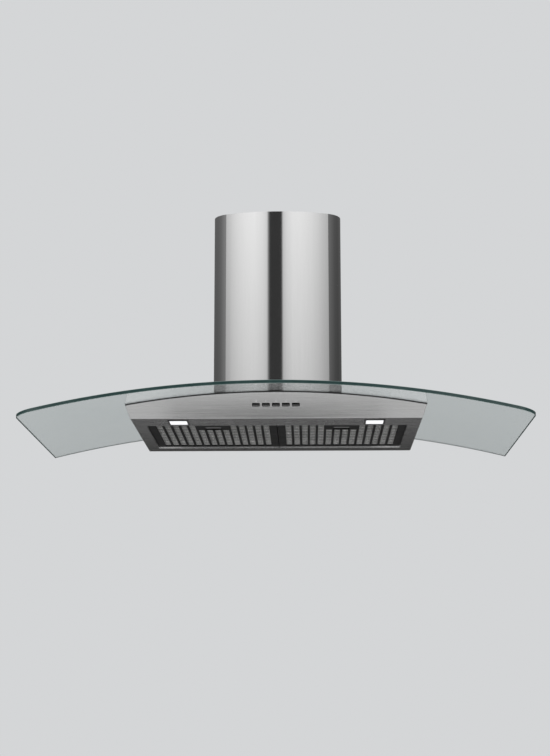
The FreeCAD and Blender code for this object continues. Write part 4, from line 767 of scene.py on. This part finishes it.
def canopy_glass():
    """Float glass with its green tint in the depth, and a film of wiping marks on its faces."""
    finish, tree, shader, place = start_finish("canopy_glass", 0.0, 0.0)
    shader["Transmission Weight"].default_value = 1.0
    shader["IOR"].default_value = 1.5
    smear = use(tree, handling_group, Place=place, Scale=6.0)["Mask"]
    film = noise(tree, place, 60.0, 4.0, 0.7)
    feed(tree, shader["Base Color"],
         blend(tree, smear, (0.985, 1.0, 0.995, 1.0), (0.965, 0.985, 0.98, 1.0)))
    feed(tree, shader["Roughness"], times(tree, times(tree, smear, film), 0.01))
    depth = add(tree, "VolumeAbsorption")
    depth.inputs["Color"].default_value = (0.25, 0.68, 0.66, 1.0)
    depth.inputs["Density"].default_value = 7.0
    feed(tree, tree.nodes["Material Output"].inputs["Volume"], depth.outputs[0])
    return finish


def glass_rim():
    """The ground rim: deep teal, with paler arrises, frosted by the grinding and made paler still as
    a painted highlight line.
    """
    finish, tree, shader, place = start_finish("glass_rim", 0.0, 0.18)
    shader["IOR"].default_value = 1.5
    face = axes(tree, add(tree, "NewGeometry").outputs["Normal"])
    arris = spread(tree, maths(tree, "ABSOLUTE", face["Z"]), 0.28, 0.45)
    cloud = spread(tree, noise(tree, place, 35.0, 4.0, 0.6), 0.3, 0.7)
    speck = noise(tree, place, 1500.0, 2.0)
    teal = blend(tree, cloud, (0.034, 0.078, 0.075, 1.0), (0.055, 0.105, 0.101, 1.0))
    # Frosted arris colour, brightened further as a painted highlight
    frost = blend(tree, speck, (0.22, 0.34, 0.32, 1.0), (0.32, 0.44, 0.42, 1.0))
    feed(tree, shader["Base Color"], blend(tree, arris, teal, frost))
    feed(tree, shader["Roughness"], plus(tree, 0.14, times(tree, arris, 0.30)))
    feed(tree, shader["Normal"], relief(tree, speck, 0.00001))
    return finish


def lamp_opal():
    """A lit opal lens with fine square prisms, a little dimmer towards its rim."""
    finish, tree, shader, place = start_finish("lamp_opal", 0.0, 0.35)
    cells = add(tree, "TexVoronoi", distance="CHEBYCHEV")
    cells.inputs["Scale"].default_value = 420.0
    cells.inputs["Randomness"].default_value = 0.0
    feed(tree, cells.inputs["Vector"], place)
    prism = spread(tree, cells.outputs["Distance"], 0.0, 0.5)
    spot = axes(tree, place)
    across = maths(tree, "SUBTRACT", maths(tree, "ABSOLUTE", spot["X"]), LAMP_MIDDLE[0])
    along = maths(tree, "SUBTRACT", spot["Y"], LAMP_MIDDLE[1])
    across, along = (maths(tree, "ABSOLUTE", value) for value in (across, along))
    lit = times(tree, spread(tree, across, LENS_LIT[0], LENS_LIT_END[0], 1.0, 0.35),
                spread(tree, along, LENS_LIT[1], LENS_LIT_END[1], 1.0, 0.20))
    glow = blend(tree, prism, (1.0, 1.0, 0.99, 1.0), (0.86, 0.88, 0.90, 1.0))
    feed(tree, shader["Base Color"],
         blend(tree, prism, (0.70, 0.70, 0.69, 1.0), (0.56, 0.57, 0.58, 1.0)))
    feed(tree, shader["Emission Color"], blend(tree, lit, (0.0, 0.0, 0.0, 1.0), glow))
    shader["Emission Strength"].default_value = 1.0
    feed(tree, shader["Normal"], relief(tree, prism, 0.0002))
    return finish


def mark_ink():
    """Pale printed ink, a little uneven."""
    finish, tree, shader, place = start_finish("mark_ink", 0.0, 0.5)
    speck = noise(tree, place, 900.0, 2.0)
    feed(tree, shader["Base Color"],
         blend(tree, speck, (0.90, 0.90, 0.89, 1.0), (1.0, 1.0, 0.99, 1.0)))
    feed(tree, shader["Roughness"], spread(tree, speck, 0.3, 0.7, 0.4, 0.6))
    return finish


def grey(low, high):
    """A dark and a light neutral grey."""
    return (low, low, low), (high, high, high)


# Body steel carries painted shade on its underside towards the wall
body_steel = stainless("body_steel", "X", *grey(0.54, 0.76), 0.18, 0.30, 0.000005, 0.0012,
                       crowned, painted_wall_shade)
chimney_steel = stainless("chimney_steel", "Z", *grey(0.63, 0.67), 0.04, 0.07, 0.0000001)
galvanised = zinc_sheet("galvanised", (0.58, 0.59, 0.60), (0.82, 0.83, 0.84), 0.40, 130.0)
bright_zinc = zinc_sheet("bright_zinc", (0.62, 0.62, 0.60), (0.78, 0.78, 0.74), 0.28, 600.0)
polished_steel = stainless("polished_steel", "Z", *grey(0.66, 0.74), 0.08, 0.14, 0.0000002)
filter_black = skinned("filter_black", *grey(0.010, 0.016), 0.62, (0.07, 0.07, 0.07), 700.0,
                       0.00002, gloss=0.08)
mesh_aluminium = filter_aluminium()
black_moulding = skinned("black_moulding", *grey(0.012, 0.020), 0.48, (0.05, 0.05, 0.05))
# Near-black with almost no gloss: painted shade in the upper part of each button's slot
button_black = skinned("button_black", *grey(0.003, 0.005), 0.60, (0.02, 0.02, 0.02), gloss=0.05)
button_satin = skinned("button_satin", *grey(0.10, 0.15), 0.40, (0.3, 0.3, 0.3), 1800.0, 0.00001,
                       0.3, 0.0)
latch_grey = skinned("latch_grey", *grey(0.10, 0.16), 0.42, (0.3, 0.3, 0.3), 1200.0, 0.00002, 0.2)
grey_moulding = skinned("grey_moulding", *grey(0.26, 0.34), 0.50, (0.45, 0.45, 0.45))
seal_rubber = skinned("seal_rubber", *grey(0.010, 0.016), 0.70, (0.04, 0.04, 0.04), 900.0, 0.00004)
cable_skin = skinned("cable_skin", *grey(0.018, 0.030), 0.55, (0.06, 0.06, 0.06), 1100.0)
motor_enamel = skinned("motor_enamel", (0.045, 0.05, 0.055), (0.07, 0.075, 0.08), 0.40,
                       (0.3, 0.3, 0.3), 500.0)
capacitor_white = skinned("capacitor_white", (0.62, 0.62, 0.60), (0.74, 0.74, 0.71), 0.45,
                          (0.8, 0.8, 0.78))
lens_finish = lamp_opal()
glass_finish = canopy_glass()
ink = mark_ink()

SLOT_FINISH = {
    "tinted_glass": glass_finish, "black_rubber": seal_rubber, "zinc_fixings": bright_zinc,
    "polished_fixings": polished_steel, "brushed_stainless": body_steel,
    "galvanised_sheet": galvanised, "black_painted_metal": filter_black,
    "aluminium_mesh": mesh_aluminium, "black_plastic": black_moulding,
    "silver_button": button_satin, "lamp_lens": lens_finish, "grey_plastic": grey_moulding,
    "lamp_housing_metal": galvanised, "cable_sheath": cable_skin, "motor_paint": motor_enamel,
    "capacitor_case": capacitor_white,
}
NODE_FINISH = {"chimney_lower": chimney_steel, "chimney_upper": chimney_steel,
               "latch_plate_left": filter_black, "latch_plate_right": filter_black,
               "latch_left": latch_grey, "latch_right": latch_grey}


def dress_nodes():
    """Gives each CAD piece its finish, by its own name or else by its slot."""
    for name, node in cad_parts.items():
        for holder in node.material_slots:
            slot = holder.material.name.split(".")[0]
            holder.material = NODE_FINISH.get(name, SLOT_FINISH[slot])


# Studio

CAMERA_PLACE = (0.05506, -3.32810, -0.70067)
CAMERA_LENS = 80.07
CAMERA_YAW, CAMERA_PITCH, CAMERA_ROLL = -0.0193, 0.1985, -0.001
FLOOR_Z = -1.60
FLOOR_RADIUS = 3.2
FLOOR_FADE = 0.6             # share of the radius where the floor starts to fade out
# A painted shadow in the floor's colour under the hood, dark at its middle and pale at its radius
FLOOR_PAINTED_SHADOW_AT = (-0.05, -0.30, FLOOR_Z)
FLOOR_PAINTED_SHADOW_RADIUS = 0.50
FLOOR_PAINTED_SHADOW = (0.24, 0.24, 0.24, 1.0)
FLOOR_BRIGHT = (0.93, 0.93, 0.93, 1.0)
FLOOR_SEEN = (0.80, 0.80, 0.80, 1.0)
PALE = (0.66, 0.67, 0.68)
# The room's brightness by height. Heights are degrees above the horizon: from, to, level at each.
RING_SLOPE = (9.0, 18.0, 0.72, 1.19)
RING_TOP = (20.0, 34.0, 1.0, 0.72)
LOW_CEILING = (20.0, 34.0, 0.0, 0.70)
HIGH_CEILING = (50.0, 72.0, 0.0, 1.12)
# Bands: from, to, half of the soft edge's width
RING_BAND = (-24.0, 60.0, 6.0)
SIDE_TURNS = (62.0, 154.0, 8.0)
SIDE_HEIGHTS = (-30.0, 4.0, 4.0)
SIDE_LEVEL = 0.55
DARKEST = 0.05
# The room's brightness all round: degrees from straight in front of the hood, and level
ROOM_RING = (
    (-180, 0.13), (-150, 0.13), (-108, 0.14), (-82, 0.17), (-60, 0.25), (-47, 0.33), (-45.5, 0.60),
    (-41.4, 0.81), (-35.9, 0.94), (-28.7, 1.03), (-21.6, 1.07), (-14.6, 0.99), (-10.2, 0.87),
    (-8.8, 0.76), (-8.3, 0.03), (3.6, 0.03), (4.1, 0.74), (7.2, 0.90), (12.5, 1.02), (19.5, 1.02),
    (28.4, 0.94), (35.7, 0.81), (41.2, 0.66), (44, 0.45), (46, 0.20), (60, 0.16), (86, 0.105),
    (113, 0.09), (150, 0.12), (180, 0.13))


def set_camera():
    """The photo's own view."""
    data = bpy.data.cameras.new("studio_camera")
    data.sensor_width = 36.0
    data.lens = CAMERA_LENS
    data.clip_end = 100.0
    camera = bpy.data.objects.new("studio_camera", data)
    bpy.context.scene.collection.objects.link(camera)
    right = Vector((math.cos(CAMERA_YAW), -math.sin(CAMERA_YAW), 0))
    level = Vector((math.sin(CAMERA_YAW), math.cos(CAMERA_YAW), 0))
    ahead = math.cos(CAMERA_PITCH) * level + math.sin(CAMERA_PITCH) * Vector((0, 0, 1))
    up = right.cross(ahead)
    tilt_right = math.cos(CAMERA_ROLL) * right + math.sin(CAMERA_ROLL) * up
    tilt_up = math.cos(CAMERA_ROLL) * up - math.sin(CAMERA_ROLL) * right
    turn = Matrix((tilt_right, tilt_up, -ahead)).transposed()
    camera.matrix_world = Matrix.Translation(CAMERA_PLACE) @ turn.to_4x4()
    bpy.context.scene.camera = camera


def lay_floor():
    """A pale floor that fades out, can't be seen from below, and has a painted shadow under the hood,
    which camera rays don't see.
    """
    finish = bpy.data.materials.new("studio_floor")
    finish.use_nodes = True
    tree = finish.node_tree
    shader = tree.nodes["Principled BSDF"].inputs
    place = add(tree, "TexCoord").outputs["Object"]
    shader["Roughness"].default_value = 0.9
    spot = add(tree, "VectorMath", operation="SUBTRACT")
    feed(tree, spot.inputs[0], place)
    spot.inputs[1].default_value = FLOOR_PAINTED_SHADOW_AT
    near = add(tree, "VectorMath", operation="LENGTH")
    feed(tree, near.inputs[0], spot.outputs[0])
    # Painted shadow under the hood, for every ray but camera rays
    shade = blend(tree, spread(tree, near.outputs["Value"], 0.0, FLOOR_PAINTED_SHADOW_RADIUS, smooth=False),
                  FLOOR_PAINTED_SHADOW, FLOOR_BRIGHT)
    seen = add(tree, "LightPath").outputs["Is Camera Ray"]
    feed(tree, shader["Base Color"], blend(tree, seen, shade, FLOOR_SEEN))
    away = add(tree, "VectorMath", operation="LENGTH")
    feed(tree, away.inputs[0], stretch(tree, place, (1.0, 1.0, 0.0)))
    fade = spread(tree, away.outputs["Value"], FLOOR_FADE * FLOOR_RADIUS, FLOOR_RADIUS, 1.0, 0.0)
    under = add(tree, "NewGeometry").outputs["Backfacing"]
    feed(tree, shader["Alpha"], times(tree, fade, maths(tree, "SUBTRACT", 1.0, under)))
    bm = bmesh.new()
    bmesh.ops.create_circle(bm, cap_ends=True, segments=96, radius=FLOOR_RADIUS)
    bmesh.ops.translate(bm, vec=(0, 0, FLOOR_Z), verts=bm.verts)
    mesh = bpy.data.meshes.new("studio_floor")
    bm.to_mesh(mesh)
    bm.free()
    mesh.materials.append(finish)
    floor = bpy.data.objects.new("studio_floor", mesh)
    bpy.context.scene.collection.objects.link(floor)


def light_studio():
    """A dim room with two tall soft panels in front, beside a narrow dark gap, and a lit ceiling."""
    world = bpy.data.worlds.new("studio")
    bpy.context.scene.world = world
    world.use_nodes = True
    tree = world.node_tree
    x, y, z = axes(tree, add(tree, "TexCoord").outputs["Generated"])
    turn = times(tree, maths(tree, "ARCTAN2", x, times(tree, y, -1.0)), 180 / math.pi)
    rise = times(tree, maths(tree, "ARCSINE", z), 180 / math.pi)
    ring = add(tree, "ValToRGB")
    ramp = ring.color_ramp
    while len(ramp.elements) < len(ROOM_RING):
        ramp.elements.new(0.5)
    for mark, (angle, level) in zip(ramp.elements, ROOM_RING):
        mark.position = (angle + 180.0) / 360.0
        mark.color = (level, level, level, 1.0)
    feed(tree, ring.inputs["Fac"], spread(tree, turn, -180.0, 180.0, smooth=False))
    room = times(tree, ring.outputs["Color"], spread(tree, rise, *RING_SLOPE, smooth=False))
    room = times(tree, room, between(tree, rise, *RING_BAND))
    room = times(tree, room, spread(tree, rise, *RING_TOP))
    aside = maths(tree, "ABSOLUTE", turn)
    sides = times(tree, between(tree, aside, *SIDE_TURNS), between(tree, rise, *SIDE_HEIGHTS))
    total = DARKEST
    for layer in (room, spread(tree, rise, *LOW_CEILING), spread(tree, rise, *HIGH_CEILING),
                  times(tree, sides, SIDE_LEVEL)):
        total = maths(tree, "MAXIMUM", layer, total)
    lit = add(tree, "CombineColor")
    for socket in lit.inputs[:3]:
        feed(tree, socket, total)
    ray = add(tree, "LightPath").outputs
    seen = maths(tree, "MAXIMUM", ray["Is Camera Ray"], ray["Is Transmission Ray"])
    back = tree.nodes["Background"]
    feed(tree, back.inputs["Color"], blend(tree, seen, lit.outputs[0], PALE + (1.0,)))
    back.inputs["Strength"].default_value = 1.0


bpy.context.scene.view_settings.view_transform = "Standard"
set_camera()
lay_floor()
light_studio()
dress_nodes()
make_glass(glass_finish, glass_rim())
for side in ("left", "right"):
    make_lens(side, lens_finish)
    for layer in range(MESH_LAYERS):
        make_filter_mesh(side, layer, mesh_aluminium)
make_hem_stud(black_moulding)
for index in range(BUTTON_COUNT):
    make_button(index, button_black, button_satin)
    make_mark(index, ink)
